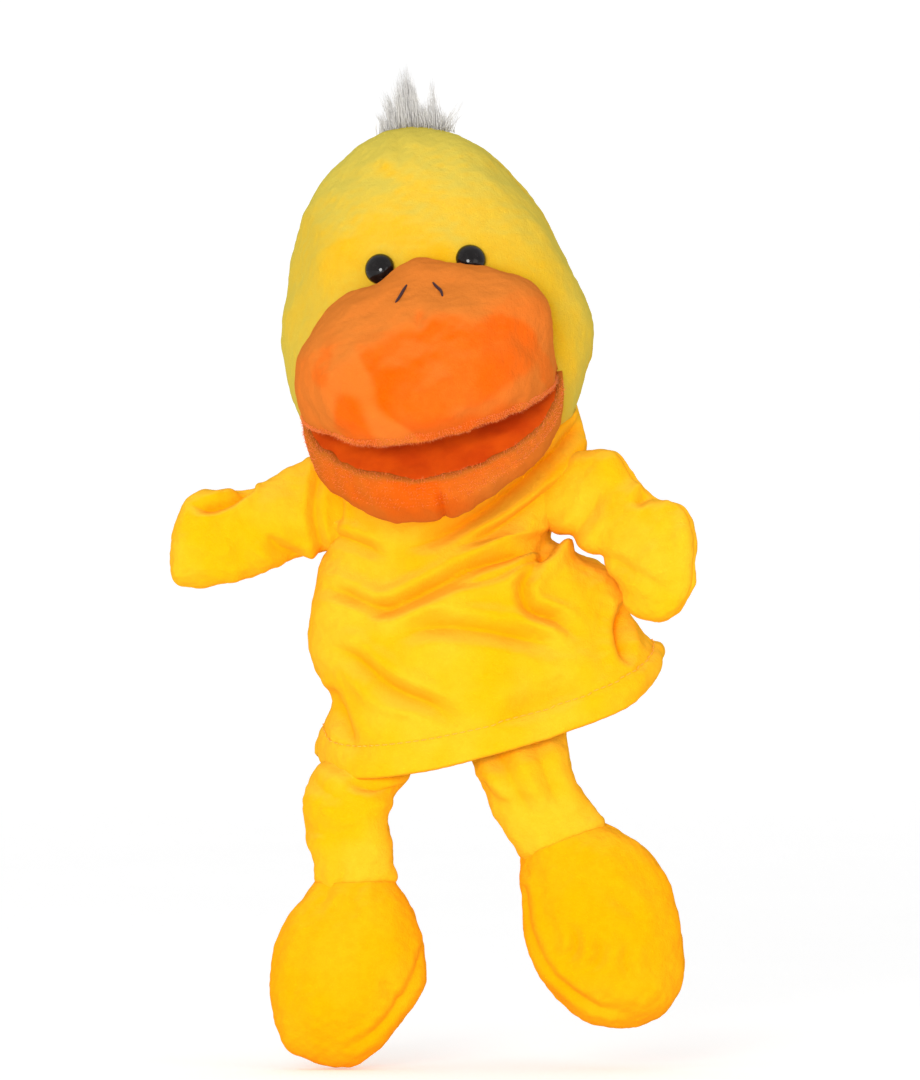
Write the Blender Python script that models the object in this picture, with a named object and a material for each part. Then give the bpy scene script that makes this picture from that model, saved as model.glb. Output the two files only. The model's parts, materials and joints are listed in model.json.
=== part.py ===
"""A plush hand puppet with a moving mouth: a duckling with a stuffed bill, limp arms and dangling legs.

Run with: blender --background --python part.py
Units are millimetres in the tables below and metres in the scene. +Z is up, the face looks along -Y,
and "left" and "right" are the viewer's. Each joint has an empty on its axis, and the pieces that
it moves hang below that empty.
"""

import math

import bmesh
import bpy
from mathutils import Euler, Vector

MM = 0.001
WELD = 0.000001  # metres: points this close are one point

# ---- Driving dimensions, in millimetres ----
CLOTH = 1.6  # plush with its backing
HEM_CLOTH = 2.6  # plush folded double
GAP = 0.4  # between neighbouring pieces
NECK = Vector((0.0, 5.0, 250.0))
HEAD_UP = 40.0  # from the neck's centre to the widest part of the head
HEAD_LEAN = -7.5  # degrees about Y, crown to the left
HEAD_YAW = -4.0  # degrees about Z, face to the left
HEAD_CENTRE_Y = 3.0
HEAD_TOP = 88.0
HINGE_Y, HINGE_Z = -25.0, -13.0  # the mouth's fold, in the head's frame
MOUTH_HALF = 53.0  # half the width between the mouth's corners
ROOF_DROP = -22.0  # degrees, slope of the upper mouth board
FLOOR_DROP = -41.0  # degrees, slope of the lower mouth board at rest
LINING = 1.0
BOARD = 2.0
BOARD_HALF, UPPER_BOARD_REACH, LOWER_BOARD_REACH = 48.0, 62.0, 55.0
LEFT_EYE_X, RIGHT_EYE_X, EYE_Z = -15.5, 21.0, 31.0
EYE_RADIUS, SHANK_RADIUS = 6.0, 2.0
TORSO_CENTRE_Y = 8.0
ARMHOLE_HEIGHT, ARMHOLE_RADIUS = 225.0, 13.0
FAR = 90.0  # past the far side of every panel
LEG_LENGTH = 42.0

# Rings from the bottom up: height, centre x, half width, half depth, lean in degrees, pitch in degrees.
TORSO_RINGS = (
    (136.0, 14.0, 70.0, 35.0, -15.0, 10.0),
    (160.0, 12.0, 70.5, 34.0, -11.0, 5.0),
    (184.0, 6.0, 62.0, 31.0, -8.0, 0.0),
    (209.0, -3.0, 48.5, 27.5, -5.0, 0.0),
    (227.0, 0.0, 49.5, 27.0, -6.0, 0.0),
    (243.5, 1.5, 47.0, 26.0, -7.5, 0.0),
)
HEM_SHARE = 0.09  # share of the torso's height that the folded hem takes
# Rings of the head, from the neck up: height, half width, half depth.
HEAD_RINGS = (
    (-34.0, 47.0, 33.0),
    (-20.0, 58.0, 41.0),
    (-4.0, 62.0, 45.5),
    (13.0, 60.5, 46.5),
    (30.0, 56.0, 44.5),
    (47.0, 49.0, 40.0),
    (62.0, 40.0, 33.5),
    (75.0, 28.5, 24.5),
    (83.5, 16.0, 14.0),
    (HEAD_TOP, 4.0, 4.0),
)
# Side outline of each half of the bill, as reach from the mouth's fold and angle above the horizon.
UPPER_BILL = (
    (67.5, -21.0),
    (72.0, -13.0),
    (72.5, -2.0),
    (67.5, 14.0),
    (61.0, 33.0),
    (55.5, 53.0),
    (52.0, 74.0),
)
NOSTRIL_REACH, NOSTRIL_ANGLE = 61.0, 33.0
LOWER_BILL = ((66.5, -42.5), (70.5, -47.0), (70.5, -53.0), (62.0, -60.5), (42.0, -66.5), (20.0, -67.0))
BILL_PAD = (
    (38.0, 22.0),
    (62.0, 1.0),
    (68.5, 0.0),
    (64.0, 14.0),
    (57.0, 33.0),
    (51.5, 53.0),
    (48.0, 62.0),
    (38.0, 45.0),
)
JAW_PAD = ((58.0, -47.5), (66.5, -46.0), (67.5, -52.0), (62.0, -57.5), (58.0, -57.0))
# Cross arches of the pockets: distance forward from the fold, height, share of the width.
FINGER_ARCHES = ((5.0, 17.0, 1.0), (22.0, 17.0, 1.0), (38.0, 14.0, 0.92), (50.0, 8.0, 0.7))
THUMB_ARCHES = ((27.0, 6.5, 1.0), (38.0, 9.0, 1.0), (48.0, 9.0, 0.9), (53.0, 6.5, 0.7))
# Limbs hang along -Z from their joint: height, half width, half depth.
SLEEVE_RINGS = (
    (-4.0, 5.5, 5.5),
    (-8.5, 12.5, 9.0),
    (-13.0, 16.5, 10.5),
    (-19.0, 15.0, 8.0),
    (-25.0, 8.0, 3.6),
)
WRIST_DROP = 28.5
TAPE_RADIUS = 11.0
PAD_ROOM = CLOTH + 2.0  # from a limb's outer face to the fill inside it
MITT_RINGS = (
    (-3.5, 7.5, 3.6),
    (-9.0, 14.5, 8.0),
    (-17.0, 17.5, 10.0),
    (-25.0, 16.5, 9.0),
    (-31.0, 11.0, 6.0),
    (-34.0, 4.5, 2.5),
)
LEG_RINGS = (
    (-LEG_LENGTH + 4.0, 13.0, 3.8),
    (-LEG_LENGTH + 11.0, 16.5, 8.0),
    (-22.0, 17.0, 10.0),
    (-9.0, 17.5, 10.5),
    (0.0, 13.0, 9.0),
    (7.0, 9.5, 6.5),
    (11.0, 6.0, 3.0),
)
FOOT_RINGS = (
    (-3.0, 13.0, 3.8),
    (-8.0, 19.0, 8.5),
    (-16.0, 26.5, 14.0),
    (-32.0, 31.5, 17.5),
    (-48.0, 30.5, 17.0),
    (-60.0, 23.5, 13.0),
    (-68.0, 13.0, 7.5),
    (-72.0, 4.0, 2.5),
)
TUFT_RINGS = ((0.0, 13.0, 6.0), (8.0, 12.0, 5.5), (17.0, 8.0, 4.0), (24.0, 2.5, 1.5))


# ---- Materials ----
def material(name, colour, roughness):
    made = bpy.data.materials.new(name)
    made.use_nodes = True
    shader = made.node_tree.nodes["Principled BSDF"]
    shader.inputs["Base Color"].default_value = (*colour, 1.0)
    shader.inputs["Roughness"].default_value = roughness
    shader.inputs["Metallic"].default_value = 0.0
    return made


def make_materials():
    return {
        "body_plush": material("body_plush", (1.0, 0.55, 0.01), 0.9),
        "head_plush": material("head_plush", (0.93, 0.66, 0.07), 0.9),
        "foot_plush": material("foot_plush", (1.0, 0.46, 0.005), 0.9),
        "bill_plush": material("bill_plush", (0.88, 0.2, 0.02), 0.9),
        "mouth_lining": material("mouth_lining", (0.68, 0.06, 0.005), 0.9),
        "eye_plastic": material("eye_plastic", (0.01, 0.008, 0.008), 0.12),
        "washer_plastic": material("washer_plastic", (0.8, 0.8, 0.78), 0.5),
        "board": material("board", (0.45, 0.42, 0.38), 0.8),
        "stuffing": material("stuffing", (0.85, 0.85, 0.83), 1.0),
        "pocket_cloth": material("pocket_cloth", (0.85, 0.5, 0.05), 0.95),
        "thread": material("thread", (0.05, 0.008, 0.012), 0.8),
        "tuft_fur": material("tuft_fur", (0.62, 0.6, 0.57), 0.9),
    }


# ---- Placing ----
def joint(name, parent, place, turn=(0.0, 0.0, 0.0)):
    """An empty on a joint's axis. place is in millimetres and turn in degrees, both from its parent."""
    empty = bpy.data.objects.new(name, None)
    bpy.context.scene.collection.objects.link(empty)
    empty.parent = parent
    empty.location = Vector(place) * MM
    empty.rotation_euler = Euler([math.radians(a) for a in turn])
    return empty


def piece(name, mesh, look, parent, place=(0.0, 0.0, 0.0), turn=(0.0, 0.0, 0.0)):
    mesh.name = name
    made = bpy.data.objects.new(name, mesh)
    bpy.context.scene.collection.objects.link(made)
    made.parent = parent
    made.location = Vector(place) * MM
    made.rotation_euler = Euler([math.radians(a) for a in turn])
    if look is not None:
        mesh.materials.append(look)
        mesh.shade_smooth()
        mesh.set_sharp_from_angle(angle=math.radians(40))
    return made


def helper(name, mesh, parent, place=(0.0, 0.0, 0.0), turn=(0.0, 0.0, 0.0)):
    """A cutter: it shapes other pieces and is no piece itself."""
    made = piece(name, mesh, None, parent, place, turn)
    made.hide_render = True
    made.display_type = "WIRE"
    return made


def cut(target, cutter):
    cutting = target.modifiers.new("cut_" + cutter.name, "BOOLEAN")
    cutting.operation = "DIFFERENCE"
    cutting.object = cutter


def thicken(target, thickness):
    """Gives a skin its cloth, inwards from the outer face."""
    cloth = target.modifiers.new("cloth", "SOLIDIFY")
    cloth.thickness = thickness * MM
    cloth.offset = -1.0
    cloth.use_even_offset = True


# ---- Shapes ----
def eased(rows, steps):
    """The rows with steps - 1 more between each pair, along a Catmull-Rom curve."""
    rows = [tuple(row) for row in rows]
    ends = [rows[0]] + rows + [rows[-1]]
    out = []
    for i in range(len(rows) - 1):
        a, b, c, d = ends[i : i + 4]
        for k in range(steps):
            t = k / steps
            out.append(
                tuple(
                    q + 0.5 * t * (r - p + t * (2 * p - 5 * q + 4 * r - s + t * (3 * (q - r) + s - p)))
                    for p, q, r, s in zip(a, b, c, d)
                )
            )
    return out + [rows[-1]]


def oval(half_width, half_depth, segments, fullness=2.0):
    """Points round a superellipse, anticlockwise from +X as seen from above."""
    points = []
    for i in range(segments):
        turn = 2 * math.pi * i / segments
        c, s = math.cos(turn), math.sin(turn)
        points.append(
            Vector(
                (
                    half_width * math.copysign(abs(c) ** (2 / fullness), c),
                    half_depth * math.copysign(abs(s) ** (2 / fullness), s),
                    0.0,
                )
            )
        )
    return points


def skin_mesh(grid, closed_round, caps):
    """A mesh through a grid of points: grid[level][k], in millimetres. caps are (first, last)."""
    shape = bmesh.new()
    rows = [[shape.verts.new(point * MM) for point in ring] for ring in grid]
    count = len(rows[0])
    for low, high in zip(rows, rows[1:]):
        for k in range(count if closed_round else count - 1):
            n = (k + 1) % count
            shape.faces.new((low[k], low[n], high[n], high[k]))
    if caps[0]:
        shape.faces.new(list(reversed(rows[0])))
    if caps[1]:
        shape.faces.new(rows[-1])
    bmesh.ops.remove_doubles(shape, verts=shape.verts, dist=WELD)
    bmesh.ops.recalc_face_normals(shape, faces=shape.faces)
    mesh = bpy.data.meshes.new("mesh")
    shape.to_mesh(mesh)
    shape.free()
    return mesh


def tube_mesh(outer, inner):
    """A closed band between two grids of rings, with flat rims."""
    grid = outer + list(reversed(inner))
    return skin_mesh(grid + [outer[0]], True, (False, False))


def limb_grid(rings, steps, segments, inset=0.0, fullness=2.2):
    """Rings of (height, half width, half depth) as a grid from the lowest up, shrunk by inset."""
    rows = eased(sorted(rings), steps)
    return [
        [
            p + Vector((0.0, 0.0, height))
            for p in oval(max(width - inset, 1.0), max(depth - inset, 0.6), segments, fullness)
        ]
        for height, width, depth in rows
    ]


def torso_grid(rows, segments, inset=0.0):
    grid = []
    for height, x, width, depth, lean, pitch in rows:
        turn = Euler((math.radians(pitch), math.radians(lean), 0.0)).to_matrix()
        centre = Vector((x, TORSO_CENTRE_Y, height))
        grid.append([centre + turn @ p for p in oval(width - inset, depth - inset, segments, 2.7)])
    return grid


def head_grid(inset=0.0):
    return [
        [
            p + Vector((0.0, HEAD_CENTRE_Y, height - inset * (height > 0)))
            for p in oval(max(width - inset, 1.0), max(depth - inset, 1.0), 28, 2.1)
        ]
        for height, width, depth in HEAD_RINGS
    ]


def bill_point(reach, angle, round_turn, half_width, fullness=0.85):
    """A point of the bill. round_turn runs from one mouth corner (0) to the other (180), in degrees."""
    turn = math.radians(round_turn)
    out = reach * math.sin(turn) ** fullness
    slope = math.radians(angle)
    x = half_width * math.cos(turn)
    return Vector((x, HINGE_Y - out * math.cos(slope), HINGE_Z + out * math.sin(slope)))


def bill_grid(profile, half_width, first_turn, segments):
    return [
        [
            bill_point(reach, angle, first_turn + (180 - 2 * first_turn) * k / segments, half_width)
            for reach, angle in profile
        ]
        for k in range(segments + 1)
    ]


def box_mesh(low, high):
    shape = bmesh.new()
    bmesh.ops.create_cube(shape, size=1.0)
    low, high = Vector(low), Vector(high)
    for v in shape.verts:
        v.co = Vector(((low[i] + high[i]) / 2 + v.co[i] * (high[i] - low[i])) * MM for i in range(3))
    mesh = bpy.data.meshes.new("mesh")
    shape.to_mesh(mesh)
    shape.free()
    return mesh


def rod_mesh(radius, length, segments=14):
    """A cylinder along Z, centred on its origin."""
    shape = bmesh.new()
    bmesh.ops.create_cone(
        shape, cap_ends=True, segments=segments, radius1=radius * MM, radius2=radius * MM, depth=length * MM
    )
    mesh = bpy.data.meshes.new("mesh")
    shape.to_mesh(mesh)
    shape.free()
    return mesh


def turned_mesh(outline, segments):
    """A solid turned about Z from (radius, height) points, bottom to top, with its ends on the axis."""
    grid = [[p + Vector((0.0, 0.0, z)) for p in oval(radius, radius, segments)] for radius, z in outline]
    return skin_mesh(grid, True, (True, True))


def tongue_mesh(half_width, reach, start, low, high, segments=16):
    """A D-shaped plate that runs forward (-Y) from the mouth's fold, between two heights."""
    shape = bmesh.new()
    outline = []
    for k in range(segments + 1):
        turn = math.pi * k / segments
        out = max(reach * math.sin(turn) ** 0.85, start)
        outline.append((half_width * math.cos(turn), -out))
    bottom = [shape.verts.new(Vector((x, y, low)) * MM) for x, y in outline]
    face = shape.faces.new(bottom)
    raised = bmesh.ops.extrude_face_region(shape, geom=[face])
    for v in raised["geom"]:
        if isinstance(v, bmesh.types.BMVert):
            v.co.z = high * MM
    bmesh.ops.recalc_face_normals(shape, faces=shape.faces)
    mesh = bpy.data.meshes.new("mesh")
    shape.to_mesh(mesh)
    shape.free()
    return mesh


def arch_grid(half_width, heights, base, segments=12):
    """Arches that stand on z = base, one for each (distance forward, height, share of the width)."""
    return [
        [
            Vector(
                (
                    half_width * share * math.cos(math.pi * k / segments),
                    -out,
                    base + height * math.sin(math.pi * k / segments) ** 0.8,
                )
            )
            for k in range(segments + 1)
        ]
        for out, height, share in heights
    ]


# ---- The puppet ----
def clear_scene():
    for old in list(bpy.data.objects):
        bpy.data.objects.remove(old)


def build_torso(looks):
    """The glove: a front and a back panel sewn at the sides, with armholes and a folded hem."""
    rows = eased(TORSO_RINGS, 2)
    hem_height = TORSO_RINGS[0][0] + HEM_SHARE * (TORSO_RINGS[-1][0] - TORSO_RINGS[0][0])
    hem_rows = [row for row in rows if row[0] <= hem_height] + [rows_at(rows, hem_height)]
    panel_rows = [rows_at(rows, hem_height + GAP)] + [row for row in rows if row[0] > hem_height + GAP]

    hem_mesh = tube_mesh(torso_grid(hem_rows, 24), torso_grid(hem_rows, 24, HEM_CLOTH))
    piece("hem_band", hem_mesh, looks["body_plush"], None)

    armhole_bar = turned_mesh([(ARMHOLE_RADIUS, -90.0), (ARMHOLE_RADIUS, 90.0)], 16)
    middle = (0.0, TORSO_CENTRE_Y, ARMHOLE_HEIGHT)
    armholes = helper("armhole_bar", armhole_bar, None, middle, (0.0, 90.0, 0.0))
    for side, low, high in halves(TORSO_CENTRE_Y):
        name = f"torso_{side}_panel"
        skin = skin_mesh(torso_grid(panel_rows, 24), True, (False, False))
        panel = piece(name, skin, looks["body_plush"], None)
        thicken(panel, CLOTH)
        other_half = box_mesh((-120, low, 90), (120, high, 290))
        cut(panel, helper(f"{name}_halver", other_half, None))
        cut(panel, armholes)


def halves(middle):
    """Each panel's side, with the lowest and highest y of what is cut from it."""
    return (("front", middle - GAP / 2, FAR), ("back", -FAR, middle + GAP / 2))


def rows_at(rows, height):
    """The row at this height, along straight lines between its neighbours."""
    for a, b in zip(rows, rows[1:]):
        if a[0] <= height <= b[0]:
            t = (height - a[0]) / (b[0] - a[0])
            return tuple(p + t * (q - p) for p, q in zip(a, b))
    return rows[-1]


def build_neck(looks):
    """The tape that the head and the glove are sewn to. It turns on the neck's own axis."""
    turn = joint("head_turn", None, NECK, (0.0, HEAD_LEAN, 0.0))
    ring = [[p + Vector((0.0, 0.0, z)) for p in oval(41.0, 25.5, 28, 2.3)] for z in (-1.5, 1.5)]
    skin = skin_mesh(ring, True, (False, False))
    tape = piece("neck_seam_tape", skin, looks["pocket_cloth"], turn)
    thicken(tape, CLOTH)
    return turn


def head_surface(x, z):
    """The point of the head's front face at this x and height, and its outward normal."""

    def front(px, pz):
        rows = eased(HEAD_RINGS, 6)
        _, width, depth = rows_at(rows, pz)
        return Vector((px, HEAD_CENTRE_Y - depth * (1 - (abs(px) / width) ** 2.1) ** (1 / 2.1), pz))

    point = front(x, z)
    across, up = front(x + 1, z) - front(x - 1, z), front(x, z + 1) - front(x, z - 1)
    return point, across.cross(up).normalized()


def build_head(looks, turn):
    nod = joint("head_nod", turn, (0.0, 0.0, 0.0), (0.0, 0.0, HEAD_YAW))
    head = joint("head_centre", nod, (0.0, -NECK.y, HEAD_UP))

    form = helper("head_form", skin_mesh(head_grid(-GAP), True, (True, True)), head)
    mouth_hole = helper("mouth_hole", box_mesh((-70, -90, -60), (70, HINGE_Y + 2, 12)), head)
    behind_jaw = box_mesh((-70, -60, -30), (70, 0, 0))
    jaw_room = helper("jaw_room", behind_jaw, head, (0, -12, -14), (38, 0, 0))
    eyes = build_eyes(looks, head)

    for side, low, high in halves(HEAD_CENTRE_Y):
        name = f"head_{side}_panel"
        panel = piece(name, skin_mesh(head_grid(), True, (False, True)), looks["head_plush"], head)
        thicken(panel, CLOTH)
        cut(panel, helper(f"{name}_halver", box_mesh((-90, low, -60), (90, high, 110)), head))
        if side == "front":
            cut(panel, mouth_hole)
            cut(panel, jaw_room)
            for shank_hole, _ in eyes:
                cut(panel, shank_hole)

    pad_rings = [row for row in HEAD_RINGS if row[0] >= 30.0]
    pad_grid = [
        [p + Vector((0.0, HEAD_CENTRE_Y, height)) for p in oval(width - 12.0, depth - 12.0, 20, 2.1)]
        for height, width, depth in pad_rings[:-2]
    ]
    piece("head_stuffing", skin_mesh(pad_grid, True, (True, True)), looks["stuffing"], head)

    build_tuft(looks, head)
    build_upper_bill(looks, head, form, eyes)
    build_jaw(looks, head)


def build_eyes(looks, head):
    """Safety eyes: a domed button whose shank goes through the face into a washer."""
    eyes = []
    for side, x in (("left", LEFT_EYE_X), ("right", RIGHT_EYE_X)):
        point, normal = head_surface(x, EYE_Z)
        seat = joint(f"{side}_eye_seat", head, point)
        seat.rotation_mode = "QUATERNION"
        seat.rotation_quaternion = normal.to_track_quat("Z", "Y")
        lift = 1.1  # the button's rim clears the curve of the face
        dome = [
            (EYE_RADIUS * math.cos(a), lift + 1.0 + (EYE_RADIUS - 1.4) * math.sin(a))
            for a in (math.radians(t) for t in (0, 30, 60, 84))
        ]
        outline = [(SHANK_RADIUS, -9.0), (SHANK_RADIUS, lift), (EYE_RADIUS - 0.4, lift)] + dome
        piece(f"{side}_eye", turned_mesh(outline, 14), looks["eye_plastic"], seat)
        behind = (0.0, 0.0, -4.6)
        washer = piece(f"{side}_eye_washer", rod_mesh(7.0, 1.4), looks["washer_plastic"], seat, behind)
        cut(washer, helper(f"{side}_washer_hole", rod_mesh(SHANK_RADIUS + 0.3, 6.0), seat, behind))
        shank_hole = helper(f"{side}_shank_hole", rod_mesh(SHANK_RADIUS + 0.5, 12.0), seat)
        room = rod_mesh(EYE_RADIUS + 0.6, 24.0)
        eyes.append((shank_hole, helper(f"{side}_eye_room", room, seat, (0.0, 0.0, 11.5))))
    return eyes


def build_tuft(looks, head):
    """Long pile fur caught in the seam over the crown, on a strip of woven backing."""
    lock = skin_mesh(limb_grid(TUFT_RINGS, 2, 14, 0.0, 2.0), True, (True, True))
    crown = (1.0, HEAD_CENTRE_Y, HEAD_TOP + GAP)
    piece("hair_tuft", lock, looks["tuft_fur"], head, crown)
    strip = box_mesh((-9.0, -1.2, -2.5), (9.0, 1.2, 0.0))
    piece("tuft_backing", strip, looks["pocket_cloth"], head, (1.0, HEAD_CENTRE_Y, HEAD_TOP - 9.0))


def build_upper_bill(looks, head, form, eyes):
    """The stuffed upper half of the bill, with the finger pocket over its mouth board."""
    skin = skin_mesh(bill_grid(UPPER_BILL, MOUTH_HALF, 9.0, 18), False, (False, False))
    cover = piece("upper_bill_cover", skin, looks["bill_plush"], head)
    flip_outwards(cover.data, Vector((0.0, HINGE_Y, HINGE_Z)))
    thicken(cover, CLOTH)
    cushion = skin_mesh(bill_grid(BILL_PAD, MOUTH_HALF - 7.0, 24.0, 12), True, (True, True))
    pad = piece("upper_bill_stuffing", cushion, looks["stuffing"], head)
    for target in (cover, pad):
        cut(target, form)
        for _, eye_room in eyes:
            cut(target, eye_room)

    fold = (0.0, HINGE_Y, HINGE_Z)
    slope = (-ROOF_DROP, 0.0, 0.0)
    roof = tongue_mesh(50.0, 65.0, 7.0, 0.0, LINING)
    piece("upper_mouth_lining", roof, looks["mouth_lining"], head, fold, slope)
    board_low = LINING + GAP
    board_high = board_low + BOARD
    plate = tongue_mesh(BOARD_HALF, UPPER_BOARD_REACH, 4.0, board_low, board_high)
    piece("upper_mouth_board", plate, looks["board"], head, fold, slope)
    arch = arch_grid(39.0, FINGER_ARCHES, board_high + GAP)
    pocket_skin = skin_mesh(arch, False, (False, False))
    pocket = piece("finger_pocket", pocket_skin, looks["pocket_cloth"], head, fold, slope)
    flip_outwards(pocket.data, Vector((0.0, -25.0, 0.0)))
    thicken(pocket, LINING)

    crease = rod_mesh(3.0, 2 * BOARD_HALF - 6.0, 12)
    piece("mouth_fold_tape", crease, looks["mouth_lining"], head, fold, (0.0, 90.0, 0.0))
    build_nostrils(looks, head)


def build_nostrils(looks, head):
    """Two stitches of dark thread on the bridge of the bill."""
    for side, sign in (("left", 1.0), ("right", -1.0)):
        path = []
        for share in (0.0, 0.25, 0.5, 0.75, 1.0):
            angle = NOSTRIL_ANGLE - 10.5 * share
            lifted = NOSTRIL_REACH + 1.0 + 2.4 * share
            path.append(bill_point(lifted, angle, 90.0 + sign * (4.5 + 6.0 * share), MOUTH_HALF))
        along = (path[-1] - path[0]).normalized()
        across = along.cross(Vector((0.0, -1.0, 0.6))).normalized()
        out = across.cross(along)
        turns = [k * math.pi / 4 for k in range(8)]
        grid = [
            [point + radius * (across * math.cos(a) + out * math.sin(a)) for a in turns]
            for point, radius in zip(path, (0.35, 0.6, 0.65, 0.6, 0.35))
        ]
        stitch = skin_mesh(grid, True, (True, True))
        piece(f"{side}_nostril_stitch", stitch, looks["thread"], head)


def build_jaw(looks, head):
    """The lower half of the bill. It swings on the mouth's fold."""
    jaw = joint("jaw_open", head, (0.0, HINGE_Y, HINGE_Z))
    back = Vector((0.0, -HINGE_Y, -HINGE_Z))
    cover_grid = [[p + back for p in row] for row in bill_grid(LOWER_BILL, MOUTH_HALF - 1.0, 9.0, 18)]
    skin = skin_mesh(cover_grid, False, (False, False))
    cover = piece("lower_bill_cover", skin, looks["bill_plush"], jaw)
    flip_outwards(cover.data, Vector((0.0, -45.0, -46.0)))
    thicken(cover, CLOTH)
    pad_grid = [[p + back for p in row] for row in bill_grid(JAW_PAD, MOUTH_HALF - 8.0, 34.0, 12)]
    cushion = skin_mesh(pad_grid, True, (True, True))
    piece("lower_bill_stuffing", cushion, looks["stuffing"], jaw)

    slope = (-FLOOR_DROP, 0.0, 0.0)
    fold = (0.0, 0.0, 0.0)
    floor = tongue_mesh(49.0, 62.0, 9.0, -LINING, 0.0)
    piece("lower_mouth_lining", floor, looks["mouth_lining"], jaw, fold, slope)
    board_high = -LINING - GAP
    board_low = board_high - BOARD
    plate = tongue_mesh(BOARD_HALF - 5.0, LOWER_BOARD_REACH, 7.0, board_low, board_high)
    piece("lower_mouth_board", plate, looks["board"], jaw, fold, slope)
    pocket_base = board_low - GAP
    arch = arch_grid(17.0, THUMB_ARCHES, 0.0)
    hanging = [[Vector((p.x, p.y, pocket_base - p.z)) for p in row] for row in arch]
    pocket_skin = skin_mesh(hanging, False, (False, False))
    pocket = piece("thumb_pocket", pocket_skin, looks["pocket_cloth"], jaw, fold, slope)
    flip_outwards(pocket.data, Vector((0.0, -40.0, pocket_base)))
    thicken(pocket, LINING)


def flip_outwards(mesh, inside):
    """Turns an open skin's faces away from the inside point, given in millimetres."""
    shape = bmesh.new()
    shape.from_mesh(mesh)
    outwards = sum((f.calc_center_median() - inside * MM).dot(f.normal) * f.calc_area() for f in shape.faces)
    if outwards < 0:
        bmesh.ops.reverse_faces(shape, faces=shape.faces)
    shape.to_mesh(mesh)
    shape.free()


def build_arm(looks, side, shoulder, swing_turn, arm_turn, mitt_turn):
    """A limp sleeve and a lightly filled mitt.

    arm_turn and mitt_turn are degrees about Y from hanging straight down, and swing_turn is about Z.
    """
    swing = joint(f"{side}_arm_swing", None, shoulder, (0.0, 0.0, swing_turn))
    ring = [[p + Vector((0.0, 0.0, z)) for p in oval(TAPE_RADIUS, TAPE_RADIUS, 16)] for z in (-1.0, 1.0)]
    skin = skin_mesh(ring, True, (False, False))
    no_shift = (0.0, 0.0, 0.0)
    tape = piece(f"{side}_armhole_tape", skin, looks["pocket_cloth"], swing, no_shift, (0.0, arm_turn, 0.0))
    thicken(tape, CLOTH)

    raised = joint(f"{side}_arm_raise", swing, no_shift, (0.0, arm_turn, 0.0))
    skin = skin_mesh(limb_grid(SLEEVE_RINGS, 1, 14), True, (False, False))
    sleeve = piece(f"{side}_sleeve", skin, looks["body_plush"], raised)
    thicken(sleeve, CLOTH)

    fold = joint(f"{side}_hand_fold", raised, (0.0, 0.0, -WRIST_DROP), (0.0, mitt_turn - arm_turn, 0.0))
    skin = skin_mesh(limb_grid(MITT_RINGS, 1, 14), True, (True, False))
    mitt = piece(f"{side}_mitt", skin, looks["body_plush"], fold)
    thicken(mitt, CLOTH)
    cushion = skin_mesh(limb_grid(MITT_RINGS[1:-2], 1, 10, PAD_ROOM), True, (True, True))
    piece(f"{side}_mitt_stuffing", cushion, looks["stuffing"], fold)


def build_leg(looks, side, hip, leg_turn, foot_turn):
    """A limp leg that hangs on a sewn tab inside the hem, and a stuffed foot."""
    splay = joint(f"{side}_leg_splay", None, hip, (0.0, leg_turn, 0.0))
    tab = box_mesh((-5.0, -0.9, 12.5), (5.0, 0.9, 19.0))
    piece(f"{side}_leg_tab", tab, looks["pocket_cloth"], splay, (0.0, -5.0, 0.0))

    swing = joint(f"{side}_leg_swing", splay, (0.0, 0.0, 0.0))
    skin = skin_mesh(limb_grid(LEG_RINGS, 1, 14), True, (False, True))
    leg = piece(f"{side}_leg", skin, looks["body_plush"], swing)
    thicken(leg, CLOTH)

    ankle = joint(f"{side}_foot_flex", swing, (0.0, 0.0, -LEG_LENGTH), (0.0, foot_turn, 0.0))
    for face, low, high in (("top", -GAP / 2, FAR), ("sole", -FAR, GAP / 2)):
        name = f"{side}_foot_{face}_panel"
        skin = skin_mesh(limb_grid(FOOT_RINGS, 1, 18), True, (True, False))
        panel = piece(name, skin, looks["foot_plush"], ankle)
        thicken(panel, CLOTH)
        cut(panel, helper(f"{name}_halver", box_mesh((-60, low, -100), (60, high, 20)), ankle))
    cushion = skin_mesh(limb_grid(FOOT_RINGS[2:-2], 1, 14, PAD_ROOM), True, (True, True))
    piece(f"{side}_foot_stuffing", cushion, looks["stuffing"], ankle)


def build_puppet():
    clear_scene()
    looks = make_materials()
    build_torso(looks)
    build_head(looks, build_neck(looks))
    build_arm(looks, "left", (-56.0, 6.0, 226.0), 0.0, 67.0, 80.0)
    build_arm(looks, "right", (56.0, -3.0, 228.0), -27.0, -60.0, -20.0)
    build_leg(looks, "left", (-33.0, -8.0, 109.0), 8.0, -7.0)
    build_leg(looks, "right", (28.0, -8.0, 134.0), -21.0, 2.0)
    stand_on_origin()


def stand_on_origin():
    """Moves the puppet so that the middle of its bounding box, at the toes' height, is the origin."""
    bpy.context.view_layer.update()
    graph = bpy.context.evaluated_depsgraph_get()
    points = []
    for made in bpy.data.objects:
        if made.type == "MESH" and not made.hide_render:
            shaped = made.evaluated_get(graph)
            points += [shaped.matrix_world @ v.co for v in shaped.to_mesh().vertices]
            shaped.to_mesh_clear()
    low, high = (Vector([pick(p[i] for p in points) for i in range(3)]) for pick in (min, max))
    shift = Vector((-(low.x + high.x) / 2, -(low.y + high.y) / 2, -low.z))
    for made in bpy.data.objects:
        if made.parent is None:
            made.location += shift


build_puppet()
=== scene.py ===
"""The looks of a plush duckling hand puppet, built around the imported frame.

Shapes are drawn in millimetres in two places: the body's, whose origin is NECK_HEIGHT below the neck,
and the head's, which leans with it. Both come from the frame's joints. -Y is the front, and "left" and
"right" are the viewer's.
"""

import json
import math

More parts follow.
